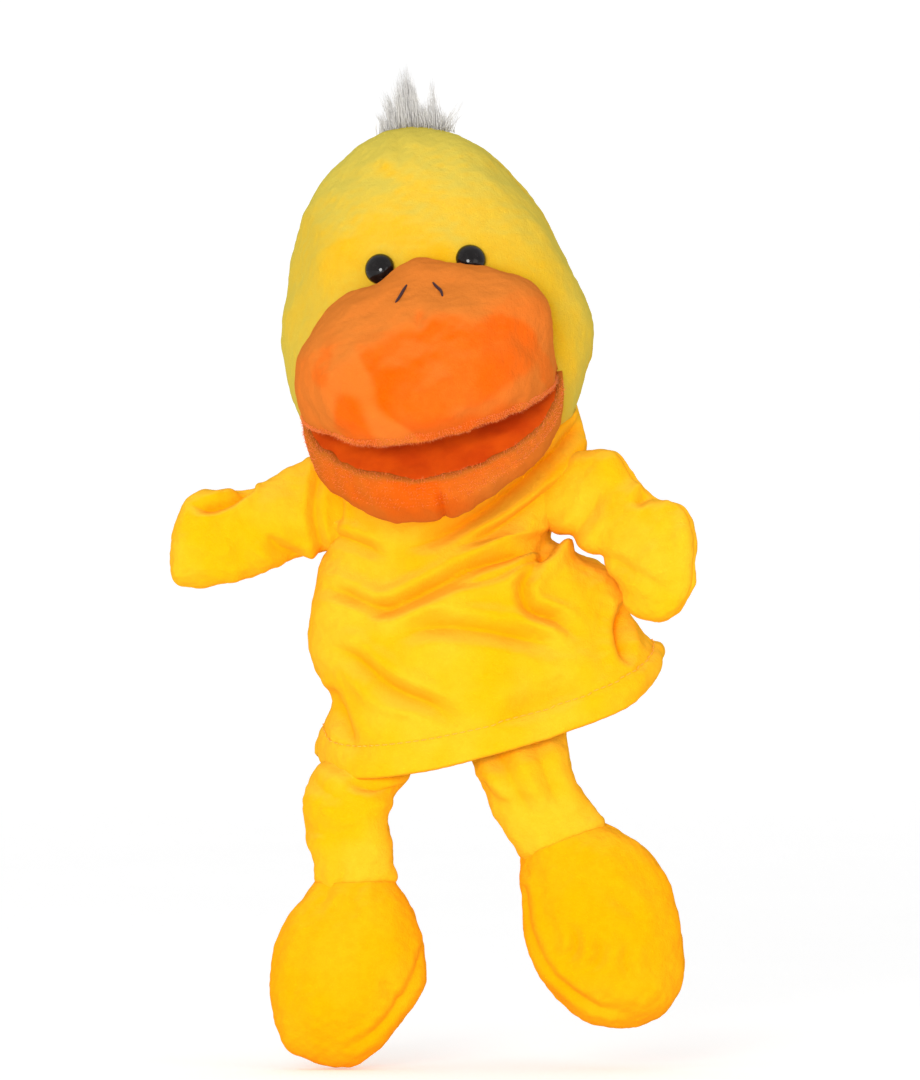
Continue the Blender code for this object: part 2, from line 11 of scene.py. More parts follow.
import bmesh
import bpy
import numpy as np
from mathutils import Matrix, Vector


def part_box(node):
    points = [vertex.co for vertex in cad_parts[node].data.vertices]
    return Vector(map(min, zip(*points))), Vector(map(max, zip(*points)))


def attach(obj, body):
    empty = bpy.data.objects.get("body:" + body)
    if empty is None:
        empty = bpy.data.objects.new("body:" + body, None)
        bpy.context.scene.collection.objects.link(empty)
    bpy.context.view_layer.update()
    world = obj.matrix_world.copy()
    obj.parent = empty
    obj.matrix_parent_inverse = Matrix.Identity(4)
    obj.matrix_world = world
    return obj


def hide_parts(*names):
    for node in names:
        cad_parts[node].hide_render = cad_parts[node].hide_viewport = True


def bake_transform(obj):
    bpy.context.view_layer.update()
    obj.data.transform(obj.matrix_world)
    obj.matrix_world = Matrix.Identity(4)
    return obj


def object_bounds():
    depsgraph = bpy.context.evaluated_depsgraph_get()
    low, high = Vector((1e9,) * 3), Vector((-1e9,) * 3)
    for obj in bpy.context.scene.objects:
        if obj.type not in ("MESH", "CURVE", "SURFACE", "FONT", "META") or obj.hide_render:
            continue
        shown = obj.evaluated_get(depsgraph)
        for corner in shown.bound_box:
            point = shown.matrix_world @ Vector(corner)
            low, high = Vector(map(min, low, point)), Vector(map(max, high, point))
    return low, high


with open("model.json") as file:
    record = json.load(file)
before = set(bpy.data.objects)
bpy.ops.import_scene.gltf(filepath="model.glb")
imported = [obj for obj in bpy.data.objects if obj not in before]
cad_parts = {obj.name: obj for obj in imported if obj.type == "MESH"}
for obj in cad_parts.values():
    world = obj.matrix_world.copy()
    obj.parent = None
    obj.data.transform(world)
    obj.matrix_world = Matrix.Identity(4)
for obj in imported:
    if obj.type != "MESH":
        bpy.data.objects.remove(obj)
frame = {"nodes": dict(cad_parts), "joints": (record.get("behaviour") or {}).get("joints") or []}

cad_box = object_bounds()
rng = np.random.default_rng(7)

# ---- Driving dimensions, in millimetres ----
MM = 0.001
NECK_HEIGHT = 250.0
NECK_DEPTH = 5.0
HINGE_Y, HINGE_Z = -25.0, -13.0  # the mouth's fold, in the head's place
MOUTH_HALF = 51.0
BILL_LEFT = -3.1  # the bill sits a little left of the face's middle
BILL_LEAN = 7.0  # and its top leans back to the right
BILL_PEAK = 5.0  # height of the gusset that runs up between the eyes
CORNER_DROP = 4.5  # the mouth's corners hang below its fold
ROOF_ANGLE, FLOOR_ANGLE = -22.0, -41.0
# Degrees by which a half of the bill is lower at its left corner, and the slopes over which it sets in.
BILL_TWIST = (2.5, 5.0, 18.0)
JAW_TWIST = (6.0, 41.0, 47.0)
HEAD_MIDDLE_Y = 3.0
HEAD_LOPSIDE = 1.6  # the crown leans to the left by this much
HEAD_FULLNESS = 2.1
CLOTH = 1.8
CLOTH_PRESSURE = 4.0
CLOTH_STEPS = 20
CLOTH_SLACK = 0.4  # the cloth starts this much smaller, and the stuffing fills it out
BILL_SWELL, LIMB_SWELL = 1.6, 1.2  # the furthest that the stuffing moves a point
CLOTH_COARSE = 5  # drawn points to each of the simulation's
HEM_WIDTH = 12.0
HEM_STITCH, HEM_THREAD = 3.2, 0.28  # a stitch's length and its thread's radius
TORSO_MIDDLE_Y = 8.0
BELLY, BELLY_SIZE, BELLY_RISE = (-4.0, 160.0), 34.0, 3.0
FRONT = np.array((0.0, -1.0, 0.0))
PAINTED_LIGHT_FACING = (-0.2, -0.1, 0.97)  # cloth that faces this way is painted paler, a painted highlight; cloth that faces away is painted deeper, a painted shade
UP = np.array((0.0, 0.0, 1.0))

# Rows of the glove from the hem up: left edge x and z, right edge x and z, half depth, front drop.
TORSO_ROWS = (
    (-53, 126, 84, 162, 34, -18),
    (-51, 136, 85.5, 168, 34, -15),
    (-47, 148, 78, 174, 33.5, -12),
    (-52, 160, 73, 181, 33, -9),
    (-55.5, 173, 70.5, 188, 32, -6),
    (-55.2, 188, 70, 196, 30, -4),
    (-50.8, 203, 61.5, 201.8, 28.5, -2),
    (-49, 208, 50, 207, 27.5, -1),
    (-50, 214, 40, 211, 26.5, 0),
    (-50, 228, 48, 231, 25.5, 0),
    (-50, 240, 54, 245, 25, 0),
    (-50, 251, 53, 259, 24, -1),
    (-47, 259, 50, 269, 23, -2),
    (-42, 270, 43, 280, 20, -2),
)
# Rows of the head from its lower edge up: height, half width, half depth, front drop.
HEAD_ROWS = (
    (-30, 45, 30, -8),
    (-34, 50, 33.5, -8),
    (-34.5, 52.5, 36, -8),
    (-31, 54, 38, -7),
    (-20, 58.5, 41.5, -3),
    (-8, 61.6, 45, 0),
    (5, 62, 46.5, 0),
    (18, 59.5, 46.5, 0),
    (32, 55.2, 44.4, 0),
    (47, 50, 40, 0),
    (61, 43, 34, 0),
    (73, 33, 26, 0),
    (81.5, 21.5, 17, 0),
    (86.5, 10.5, 8.5, 0),
    (88, 2, 2, 0),
)
# Side outline of the bill's halves: reach from the mouth's fold, angle above the horizon, side bulge,
# and how squarely it turns the corner, from 1 for a point to 0 for a box.
UPPER_BILL = (
    (38.5, 86, 0.93, 0.42),
    (43.5, 71, 0.97, 0.4),
    (51, 53, 1, 0.4),
    (57.5, 36, 1.02, 0.42),
    (65, 16, 1.01, 0.48),
    (71.5, -2, 1.01, 0.58),
    (72.3, -13, 1, 0.72),
    (68.5, -20.5, 1, 0.84),
    (64.5, -24.2, 1, 0.85),
    (60.5, -23.2, 0.98, 0.85),
    (56, -20.5, 0.96, 0.85),
    (50, -18, 0.94, 0.85),
)
LOWER_BILL = (
    (50, -45, 0.93, 0.85),
    (56, -43.2, 0.95, 0.85),
    (60.5, -40.2, 0.99, 0.85),
    (64.5, -39.6, 1.02, 0.85),
    (68, -42.2, 1.03, 0.82),
    (70.5, -47, 1.03, 0.78),
    (69.8, -53, 1.03, 0.76),
    (62, -60.5, 1.01, 0.76),
    (42, -66.5, 0.98, 0.8),
    (22, -70, 0.96, 0.85),
    (13, -88, 0.9, 0.85),
    (13, -112, 0.8, 0.85),
)
# Rows of a limb from its root to its tip: one edge x and z, the other edge x and z, half depth.
LEFT_ARM_ROWS = (
    (-36, 247, -34, 209, 11.5),
    (-52.8, 245, -50, 206.5, 12.5),
    (-66, 240.5, -64, 203.5, 12),
    (-80, 233, -80, 196, 10.5),
    (-90, 232, -91.5, 192.5, 11.5),
    (-98.5, 231.5, -101, 190.2, 11.5),
    (-105, 228.5, -107, 190.5, 9.5),
    (-109, 221, -110.5, 193.5, 7),
    (-111.3, 212, -112, 199.5, 4),
    (-112.2, 206.5, -112.3, 204.5, 1),
)
RIGHT_ARM_ROWS = (
    (42, 250, 34, 219, 11.5),
    (56, 247.5, 44.9, 214.4, 12.5),
    (66.5, 246, 54.9, 208.7, 12),
    (73, 236, 62.4, 203.3, 10.5),
    (81, 229, 66.6, 195.8, 11.5),
    (92.5, 225.5, 69.8, 189.1, 12),
    (98, 215.5, 71, 184.5, 11.5),
    (97.4, 202, 74, 180.8, 9.5),
    (96.2, 190, 79.5, 178.9, 7),
    (92.5, 182.5, 84.5, 178.4, 4),
    (89, 179.4, 88, 179, 1),
)
LEFT_LEG_ROWS = (
    (-40, 143, -22, 142, 8),
    (-43, 133, -18, 131, 9),
    (-47, 126.5, -16, 124, 10),
    (-54, 121, -15.5, 118.5, 12),
    (-57, 115, -16.4, 113.5, 13),
    (-58, 108.5, -21.5, 108, 13),
    (-58, 99, -24, 99.5, 12.5),
    (-57.5, 90, -23.5, 90.5, 12),
    (-55.3, 82, -22.8, 82, 12),
    (-55, 75, -21, 75, 12),
    (-53, 71, -23, 71, 10.5),
)
LEFT_FOOT_ROWS = (
    (-55, 75, -21, 75, 12),
    (-58.5, 69.5, -18, 69.5, 14.5),
    (-64.5, 62, -13.8, 62, 16.5),
    (-69.5, 53.5, -10.3, 53.5, 17.8),
    (-71.8, 43, -8.7, 43, 18.2),
    (-72.3, 31.5, -9.2, 31.5, 17.8),
    (-71.3, 21, -15, 21, 16.2),
    (-68, 11.5, -23.5, 11.5, 13),
    (-61.5, 4.8, -32, 4.8, 9),
    (-53, 1, -39, 1, 4.5),
    (-47, 0.2, -45, 0.2, 1),
)
RIGHT_LEG_ROWS = (
    (2, 146, 36, 158, 10),
    (5, 134, 46, 146, 12),
    (8, 121, 48.5, 130, 13),
    (11.5, 111.5, 49.5, 117, 13),
    (16, 103.5, 54.5, 108.5, 12.5),
    (21.5, 94.5, 59, 103, 12),
    (27.5, 84.5, 62.5, 98.7, 12),
    (31, 81.8, 62.5, 94.5, 10.5),
)
RIGHT_FOOT_ROWS = (
    (27.5, 84.5, 62.5, 98.7, 12),
    (27.3, 76, 71.5, 94, 14.5),
    (27.8, 66, 80, 87, 16.5),
    (29.3, 53.5, 87.8, 75, 17.8),
    (32.5, 42, 92.5, 58, 18.2),
    (38, 32, 94, 42, 17.8),
    (45, 24.5, 92.5, 31.5, 16),
    (53, 19.2, 88, 23.2, 12.8),
    (61, 16.8, 81.5, 18.5, 8.8),
    (67, 16, 76, 16.3, 4.5),
    (71, 15.8, 72, 15.8, 1),
)


# ---- Places ----
JOINTS = {j["name"]: j for j in frame["joints"]}


def joint_place(name):
    return np.array(JOINTS[name]["pos_m"])


def joint_axis(name):
    axis = np.array(JOINTS[name]["axis"], float)
    return axis / np.linalg.norm(axis)


BODY_ORIGIN = joint_place("head_turn") - np.array((0.0, NECK_DEPTH, NECK_HEIGHT)) * MM
HEAD_X, HEAD_Z = joint_axis("jaw_open"), joint_axis("head_turn")
HEAD_TURN = np.stack([HEAD_X, np.cross(HEAD_Z, HEAD_X), HEAD_Z])
HEAD_ORIGIN = joint_place("jaw_open") - (np.array((0.0, HINGE_Y, HINGE_Z)) * MM) @ HEAD_TURN


def from_body(points):
    return BODY_ORIGIN + np.asarray(points, float) * MM


def from_head(points):
    return HEAD_ORIGIN + (np.asarray(points, float) * MM) @ HEAD_TURN


def to_body(points):
    return (np.asarray(points) - BODY_ORIGIN) / MM


# ---- Curves and fields ----
def smooth_rows(rows, count, measured=4):
    """count rows evenly spaced along a smooth curve through the rows, by their first measured columns."""
    rows = np.array(rows, float)
    steps = np.linalg.norm(np.diff(rows[:, :measured], axis=0), axis=1)
    at = np.concatenate([[0.0], np.cumsum(steps)])
    slope = np.gradient(rows, at, axis=0)
    where = np.linspace(0.0, at[-1], count)
    k = np.clip(np.searchsorted(at, where, side="right") - 1, 0, len(at) - 2)
    span = (at[k + 1] - at[k])[:, None]
    u = (where - at[k])[:, None] / span
    rise = rows[k + 1] - rows[k]
    bend = slope[k] * span
    return rows[k] + u * bend + u**2 * (3 * rise - 2 * bend - slope[k + 1] * span) + u**3 * (
        bend + slope[k + 1] * span - 2 * rise
    )


def ease(value, low, high):
    """0 below low, 1 above high, smooth in between."""
    t = np.clip((value - low) / (high - low), 0.0, 1.0)
    return t * t * (3 - 2 * t)


def bell(distance, width):
    return np.exp(-((distance / width) ** 2))


def mottle(points, size, seed, waves=26):
    """A smooth random field of about unit strength, whose patches are about size across."""
    dice = np.random.default_rng(seed)
    heading = dice.normal(size=(waves, 3))
    heading /= np.linalg.norm(heading, axis=1)[:, None]
    stretch = dice.uniform(0.6, 1.5, waves)[:, None]
    turn = 2 * math.pi / (2.0 * size)
    phase = dice.uniform(0, 2 * math.pi, waves)
    return np.cos(points @ (heading * stretch * turn).T + phase).sum(axis=-1) / math.sqrt(waves / 2)


def path_distance(flat, path):
    """For each (x, z): the distance to a smooth path and the share of its length."""
    line = smooth_rows(path, 30, 2)
    gap = np.full(flat.shape[:-1], 1e9)
    along = np.zeros_like(gap)
    for i, (a, b) in enumerate(zip(line[:-1], line[1:])):
        step = b - a
        rel = flat - a
        u = np.clip(rel @ step / (step @ step), 0.0, 1.0)
        here = np.linalg.norm(rel - u[..., None] * step, axis=-1)
        near = here < gap
        gap = np.where(near, here, gap)
        along = np.where(near, (i + u) / (len(line) - 1), along)
    return gap, along


def fold(flat, path, depth, width, ends=(True, True), sharpness=1.6, ridge=0.45):
    """Relief and shade of one fold in cloth: a valley along the path, with a rounded ridge on each side.

    The shade is positive in the valley, a painted shade, and negative on the ridges, a painted highlight.
    """
    gap, along = path_distance(flat, np.array(path, float))
    strength = np.ones_like(gap)
    if ends[0]:
        strength *= ease(along, -0.02, 0.35)
    if ends[1]:
        strength *= 1 - ease(along, 0.65, 1.02)
    valley = np.exp(-((gap / width) ** sharpness))
    shoulder = bell(gap - 2.0 * width, 1.1 * width)
    relief = depth * strength * (ridge * shoulder - valley)
    return relief, strength * (valley - 0.6 * shoulder) * min(depth / 4, 1.2)


def add_folds(flat, folds, mask, relief, shade):
    """Adds each fold's relief and shade where the mask lets it show."""
    for path, depth, width, ends, sharpness in folds:
        rise, dark = fold(flat, path, depth, width, ends, sharpness)
        relief += rise * mask
        shade += dark * mask


def uneven(points, seed, *waves):
    """Unevenness of stuffed cloth: waves of (height, size), one over another."""
    return sum(height * mottle(points, size, seed + i) for i, (height, size) in enumerate(waves))


def crosswise(along, guide):
    """Two directions square to along, the first of them square to guide too."""
    aside = np.cross(along, guide)
    aside /= np.linalg.norm(aside, axis=-1, keepdims=True)
    return aside, np.cross(along, aside)


# ---- Surfaces ----
def grid_normals(points, wrap):
    if wrap:
        across = np.roll(points, -1, axis=1) - np.roll(points, 1, axis=1)
    else:
        across = np.gradient(points, axis=1)
    along = np.gradient(points, axis=0)
    normal = np.cross(across, along)
    normal /= np.maximum(np.linalg.norm(normal, axis=-1, keepdims=True), 1e-12)
    outward = points - points.mean(axis=(0, 1))
    return normal * (1.0 if (normal * outward).sum() > 0 else -1.0)


def oval(columns, fullness):
    """Points round a squared circle: how far across and how far out each one is, from -1 to 1."""
    turn = np.linspace(0, 2 * math.pi, columns, endpoint=False)[None, :]
    return (np.sign(part) * np.abs(part) ** (2 / fullness) for part in (np.cos(turn), np.sin(turn)))


def loft(rows, middle_y, slant=0.0, slant_from=0.0, columns=120, fullness=2.3):
    """Rings between two edges. rows: edge x, z, other edge x, z, half depth and, if given, front drop.

    slant swings the whole sheet forward with x, as a share, from slant_from on.
    """
    ax, az, bx, bz, depth = (rows[:, i][:, None] for i in range(5))
    drop = rows[:, 5][:, None] if rows.shape[1] > 5 else np.zeros_like(depth)
    across, out = oval(columns, fullness)
    x = (ax + bx) / 2 + (bx - ax) / 2 * across
    z = (az + bz) / 2 + (bz - az) / 2 * across + drop * np.where(out > 0, out, -0.3 * out)
    reach = depth * out
    lean = math.hypot(1.0, slant)
    y = middle_y - slant * (x - slant_from) - reach / lean
    return np.stack([x - slant * reach / lean, y, z], axis=-1), np.broadcast_to(out, x.shape)


def head_points(rows, columns):
    """Rings of the head. rows as in HEAD_ROWS."""
    height, half_width, half_depth, drop = rows.T
    across, out = oval(columns, HEAD_FULLNESS)
    x = half_width[:, None] * across - HEAD_LOPSIDE * bell(height - 64.0, 26.0)[:, None]
    y = HEAD_MIDDLE_Y - half_depth[:, None] * out
    z = height[:, None] + drop[:, None] * np.maximum(out, 0)
    return np.stack([x, y, np.broadcast_to(z, x.shape)], axis=-1), np.broadcast_to(out, x.shape)


def bill_middle(height):
    """x of the bill's middle at a height above the mouth's fold."""
    return BILL_LEFT + BILL_LEAN * ease(height, 5.0, 40.0)


def bill_surface(profile, turns, twist=(0.0, 0.0, 1.0), shift=0.0):
    """Points of half a bill: profile rows as in UPPER_BILL, turned from one corner to the other."""
    reach, angle, bulge, square = (profile[:, i][:, None] for i in range(4))
    turns = turns[None, :]
    out = reach * np.sin(turns) ** square
    turned = twist[0] * ease(-angle, twist[1], twist[2]) * np.cos(turns) * np.sin(turns) ** 0.5
    slope = np.radians(angle + turned)
    forward, height = out * np.cos(slope), out * np.sin(slope)
    x = bill_middle(height) + shift + MOUTH_HALF * np.cos(turns) * bulge
    height = height + BILL_PEAK * bell(x + 1.0, 11.0) * ease(angle, 40.0, 66.0)
    height = height - CORNER_DROP * np.abs(np.cos(turns)) ** 6
    return np.stack([x, HINGE_Y - forward, HINGE_Z + height], axis=-1)


def flat_profile(reach, angle, bulge, square):
    """Profile rows of a flat sheet that runs forward from the mouth's fold."""
    return np.stack(np.broadcast_arrays(reach, angle, bulge, square), axis=-1)


def new_piece(name, verts, faces, looks, shade=None):
    """A smooth mesh object. Where its points are at rest is kept, so patterns stay on cloth that bends."""
    mesh = bpy.data.meshes.new(name)
    mesh.from_pydata(verts, [], faces)
    if shade is not None:
        field = mesh.attributes.new("shade", "FLOAT", "POINT")
        field.data.foreach_set("value", np.asarray(shade, np.float32))
    rest = np.zeros(len(mesh.vertices) * 3, np.float32)
    mesh.vertices.foreach_get("co", rest)
    mesh.attributes.new("rest", "FLOAT_VECTOR", "POINT").data.foreach_set("vector", rest)
    for look in looks:
        mesh.materials.append(look)
    mesh.shade_smooth()
    made = bpy.data.objects.new(name, mesh)
    bpy.context.scene.collection.objects.link(made)
    return made


def sheet(name, points, looks, wrap=False, caps=(False, False), shade=None, keep=None, second=None):
    """A mesh through points[row][column], in metres.

    wrap joins the last column to the first, and caps close the first and last rows. keep drops the
    faces where it is False, and second gives the faces where it is True the second look.
    """
    rows, columns = points.shape[:2]
    index = np.arange(rows * columns).reshape(rows, columns)
    right = np.roll(index, -1, axis=1)
    span = slice(None) if wrap else slice(0, columns - 1)
    quads = np.stack([index[:-1], right[:-1], right[1:], index[1:]], axis=-1)[:, span].reshape(-1, 4)
    if keep is not None:
        quads = quads[keep.reshape(-1)[quads].any(axis=1)]
    verts = points.reshape(-1, 3)
    values = np.zeros(len(verts)) if shade is None else shade.reshape(-1)
    faces = quads.tolist()
    for row, wanted in ((0, caps[0]), (rows - 1, caps[1])):
        if wanted:
            centre = len(verts)
            verts = np.vstack([verts, points[row].mean(axis=0)])
            values = np.append(values, values[index[row]].mean())
            ring = zip(index[row], right[row])
            faces += [[centre, a, b] if row else [centre, b, a] for a, b in ring]
    made = new_piece(name, verts.tolist(), faces, looks, values)
    if second is not None:
        chosen = second.reshape(-1)[quads].all(axis=1)
        flags = np.zeros(len(faces), np.int32)
        flags[: len(chosen)] = chosen
        made.data.polygons.foreach_set("material_index", flags)
    clean(made.data)
    return made


def stuffed(points, furthest, wrap=True):
    """The surface after its stuffing has filled it: a short cloth simulation with pressure inside.

    points is in millimetres. The cloth is a coarse copy, held at its first and last rows, and also at
    its first and last columns where they aren't joined. No point moves further than furthest.
    """
    rows, columns = points.shape[:2]
    row_pick, column_pick = (
        np.linspace(0, count - 1, count // CLOTH_COARSE).round().astype(int) for count in (rows, columns)
    )
    if wrap:
        column_pick = np.arange(0, columns, CLOTH_COARSE)
    drawn = points[np.ix_(row_pick, column_pick)]
    coarse = drawn - grid_normals(drawn, wrap) * CLOTH_SLACK
    piece = sheet("stuffed_cloth", coarse * MM, [], wrap=wrap)
    fixed = np.zeros(coarse.shape[:2], bool)
    fixed[[0, -1]] = True
    if not wrap:
        fixed[:, [0, -1]] = True
    group = piece.vertex_groups.new(name="held")
    group.add(np.flatnonzero(fixed.reshape(-1)).tolist(), 1.0, "REPLACE")
    cloth_modifier = piece.modifiers.new("cloth", "CLOTH")
    cloth_modifier.collision_settings.use_collision = False
    settings = cloth_modifier.settings
    settings.use_pressure = True
    settings.uniform_pressure_force = CLOTH_PRESSURE
    settings.vertex_group_mass = "held"
    settings.effector_weights.gravity = 0.0
    scene = bpy.context.scene
    for step in range(1, CLOTH_STEPS + 1):
        scene.frame_set(step)
    evaluated = piece.evaluated_get(bpy.context.evaluated_depsgraph_get())
    found = np.zeros(len(evaluated.data.vertices) * 3, np.float32)
    evaluated.data.vertices.foreach_get("co", found)
    scene.frame_set(1)
    moved = found.reshape(*coarse.shape) / MM - coarse
    bpy.data.objects.remove(piece)
    length = np.maximum(np.linalg.norm(moved, axis=-1, keepdims=True), 1e-9)
    moved *= np.tanh(length / furthest) * furthest / length
    moved += coarse - drawn
    rows_at = np.interp(np.arange(rows), row_pick, np.arange(len(row_pick)))
    moved = between(moved, rows_at)
    if wrap:
        moved = np.concatenate([moved, moved[:, :1]], axis=1)
        columns_at = np.arange(columns) / CLOTH_COARSE
    else:
        columns_at = np.interp(np.arange(columns), column_pick, np.arange(len(column_pick)))
    return points + between(moved.swapaxes(0, 1), columns_at).swapaxes(0, 1)


def between(values, at):
    """values along the first axis, read smoothly between its places."""
    low = np.clip(at.astype(int), 0, len(values) - 2)
    share = (at - low)[:, None, None]
    share = share * share * (3 - 2 * share)
    return values[low] * (1 - share) + values[low + 1] * share


def clean(mesh):
    """Turns the faces outwards and drops the points that no face uses."""
    shape = bmesh.new()
    shape.from_mesh(mesh)
    centre = sum((v.co for v in shape.verts), Vector()) / len(shape.verts)
    bmesh.ops.recalc_face_normals(shape, faces=shape.faces)
    outward = sum((f.calc_center_median() - centre).dot(f.normal) * f.calc_area() for f in shape.faces)
    if outward < 0:
        bmesh.ops.reverse_faces(shape, faces=shape.faces)
    bmesh.ops.delete(shape, geom=[v for v in shape.verts if not v.link_faces], context="VERTS")
    shape.to_mesh(mesh)
    shape.free()


FIBRE_SHADES = (1.0, 0.6, 0.3, 0.0, 0.0)  # from a fibre's root to its tip


def ring_quads(rings, sides):
    """Faces between rings of points that follow one another."""
    return [
        (r * sides + k, r * sides + (k + 1) % sides, (r + 1) * sides + (k + 1) % sides, (r + 1) * sides + k)
        for r in range(rings - 1)
        for k in range(sides)
    ]


def strands(name, roots, headings, lengths, radius, look, bend=0.25, rings=4, seed=3):
    """Separate tapered fibres, three-sided, each bent a little to its own side."""
    dice = np.random.default_rng(seed)
    count = len(roots)
    headings = headings / np.linalg.norm(headings, axis=1)[:, None]
    aside, other = crosswise(headings, dice.normal(size=(count, 3)))
    lean = dice.uniform(-bend, bend, count)[:, None]
    verts = []
    for r in range(rings):
        share = r / rings
        centre = roots + headings * lengths[:, None] * share + aside * lean * lengths[:, None] * share**2
        thick = radius * (1 - share) ** 0.7
        for k in range(3):
            a = 2 * math.pi * k / 3
            verts.append(centre + thick * (math.cos(a) * aside + math.sin(a) * other))
    verts.append(roots + headings * lengths[:, None] + aside * lean * lengths[:, None])
    tip = rings * 3
    faces = ring_quads(rings, 3) + [(tip - 3 + k, tip - 3 + (k + 1) % 3, tip) for k in range(3)] + [(2, 1, 0)]
    per = len(verts)
    points = np.stack(verts, axis=1).reshape(-1, 3)
    all_faces = [tuple(i * per + f for f in face) for i in range(count) for face in faces]
    shade = np.repeat(FIBRE_SHADES, [3, 3, 3, 3, 1])[:per]
    return new_piece(name, points.tolist(), all_faces, [look], np.tile(shade, count))


# ---- Materials ----
class Nodes:
    """A material's node tree, with short ways to add the nodes it needs."""

    def __init__(self, name):
        self.material = bpy.data.materials.new(name)
        self.material.use_nodes = True
        self.tree = self.material.node_tree
        self.shader = self.tree.nodes["Principled BSDF"]

    def node(self, kind, settings=None, **inputs):
        made = self.tree.nodes.new(kind)
        for key, value in (settings or {}).items():
            setattr(made, key, value)
        for key, value in inputs.items():
            self.feed(made.inputs[key.replace("_", " ")], value)
        return made

    def feed(self, socket, value):
        if isinstance(value, bpy.types.NodeSocket):
            self.tree.links.new(value, socket)
        else:
            socket.default_value = value

    def rest(self):
        return self.node("ShaderNodeAttribute", {"attribute_name": "rest"}).outputs["Vector"]

    def field(self, name):
        return self.node("ShaderNodeAttribute", {"attribute_name": name}).outputs["Fac"]

    def noise(self, place, scale, detail=3.0, rough=0.6):
        made = self.node("ShaderNodeTexNoise", Scale=scale, Detail=detail, Roughness=rough)
        self.feed(made.inputs["Vector"], place)
        return made.outputs["Fac"]

    def stretch(self, place, low, high, to_low=0.0, to_high=1.0):
        made = self.node("ShaderNodeMapRange", {"interpolation_type": "SMOOTHSTEP"})
        for key, value in zip((0, 1, 2, 3, 4), (place, low, high, to_low, to_high)):
            self.feed(made.inputs[key], value)
        return made.outputs[0]

    def mix(self, share, first, second):
        made = self.node("ShaderNodeMix", {"data_type": "RGBA"})
        self.feed(made.inputs[0], share)
        self.feed(made.inputs[6], first)
        self.feed(made.inputs[7], second)
        return made.outputs[2]

    def tint(self, tone, share, amount, colour):
        """The tone, turned toward a colour by amount where share is 1."""
        return self.mix(self.math("MULTIPLY", share, amount), tone, rgb(*colour))

    def math(self, kind, a, b):
        made = self.node("ShaderNodeMath", {"operation": kind})
        self.feed(made.inputs[0], a)
        self.feed(made.inputs[1], b)
        return made.outputs[0]

    def bump(self, height, distance, strength=1.0, after=None):
        made = self.node("ShaderNodeBump", Strength=strength, Distance=distance, Height=height)
        if after is not None:
            self.feed(made.inputs["Normal"], after)
        return made.outputs["Normal"]

    def surface(self, **inputs):
        for key, value in inputs.items():
            self.feed(self.shader.inputs[key.replace("_", " ")], value)
        return self.material


def rgb(*colour):
    return (*colour, 1.0)


def plush(name, colour, deep, pale, patches=0.5, sheen=0.3, patch_size=0.02, edge=0.4, rim_sheen=None):
    """Short pile on knitted cloth: brushed patches, painted shade as deep colour in folds and on cloth facing
    down, painted highlights as pale colour on fold ridges and on cloth facing up, and a painted sheen of its
    rim colour seen edge on.
    """
    nodes = Nodes(name)
    rest = nodes.rest()
    brushed = nodes.stretch(nodes.noise(rest, 0.5 / patch_size, 2.5, 0.55), 0.36, 0.64)
    lay = nodes.stretch(nodes.noise(rest, 260.0, 3.0, 0.65), 0.3, 0.7)
    fibre = nodes.stretch(nodes.noise(rest, 1500.0, 2.0, 0.7), 0.25, 0.75)
    tone = nodes.tint(rgb(*colour), brushed, patches, pale)
    tone = nodes.tint(tone, lay, 0.22, deep)
    tone = nodes.tint(tone, fibre, 0.1, pale)
    # Painted light by which way the cloth faces: facing up it is painted pale, a painted highlight, and
    # facing down it is painted deep, a painted shade.
    normal = nodes.node("ShaderNodeNewGeometry").outputs["Normal"]
    facing = nodes.node("ShaderNodeVectorMath", {"operation": "DOT_PRODUCT"})
    nodes.feed(facing.inputs[0], normal)
    nodes.feed(facing.inputs[1], PAINTED_LIGHT_FACING)
    tone = nodes.mix(nodes.stretch(facing.outputs["Value"], 0.3, 0.85, 0.0, 0.7), tone, rgb(*pale))
    tone = nodes.mix(nodes.stretch(facing.outputs["Value"], -0.15, -0.7, 0.0, 0.45), tone, rgb(*deep))
    # Painted sheen: cloth seen edge on is turned toward its rim colour.
    grazing = nodes.node("ShaderNodeLayerWeight", Blend=0.35).outputs["Facing"]
    tone = nodes.tint(tone, grazing, edge, rim_sheen or pale)
    # The shade field is painted in: deep colour where it is positive, a painted shade, and the pale colour
    # where it is negative.
    shade = nodes.field("shade")
    tone = nodes.mix(nodes.stretch(shade, 0.0, 1.1, 0.0, 0.5), tone, rgb(*deep))
    tone = nodes.mix(nodes.stretch(shade, 0.0, -0.6, 0.0, 0.7), tone, rgb(*pale))
    normal = nodes.bump(nodes.noise(rest, 1900.0, 2.0, 0.7), 0.0005, 0.5)
    normal = nodes.bump(nodes.noise(rest, 420.0, 3.0, 0.6), 0.0012, 0.35, normal)
    return nodes.surface(
        Base_Color=tone,
        Roughness=0.95,
        Specular_IOR_Level=0.0,
        Sheen_Weight=sheen,
        Sheen_Roughness=0.45,
        Sheen_Tint=rgb(*pale),
        Normal=normal,
    )


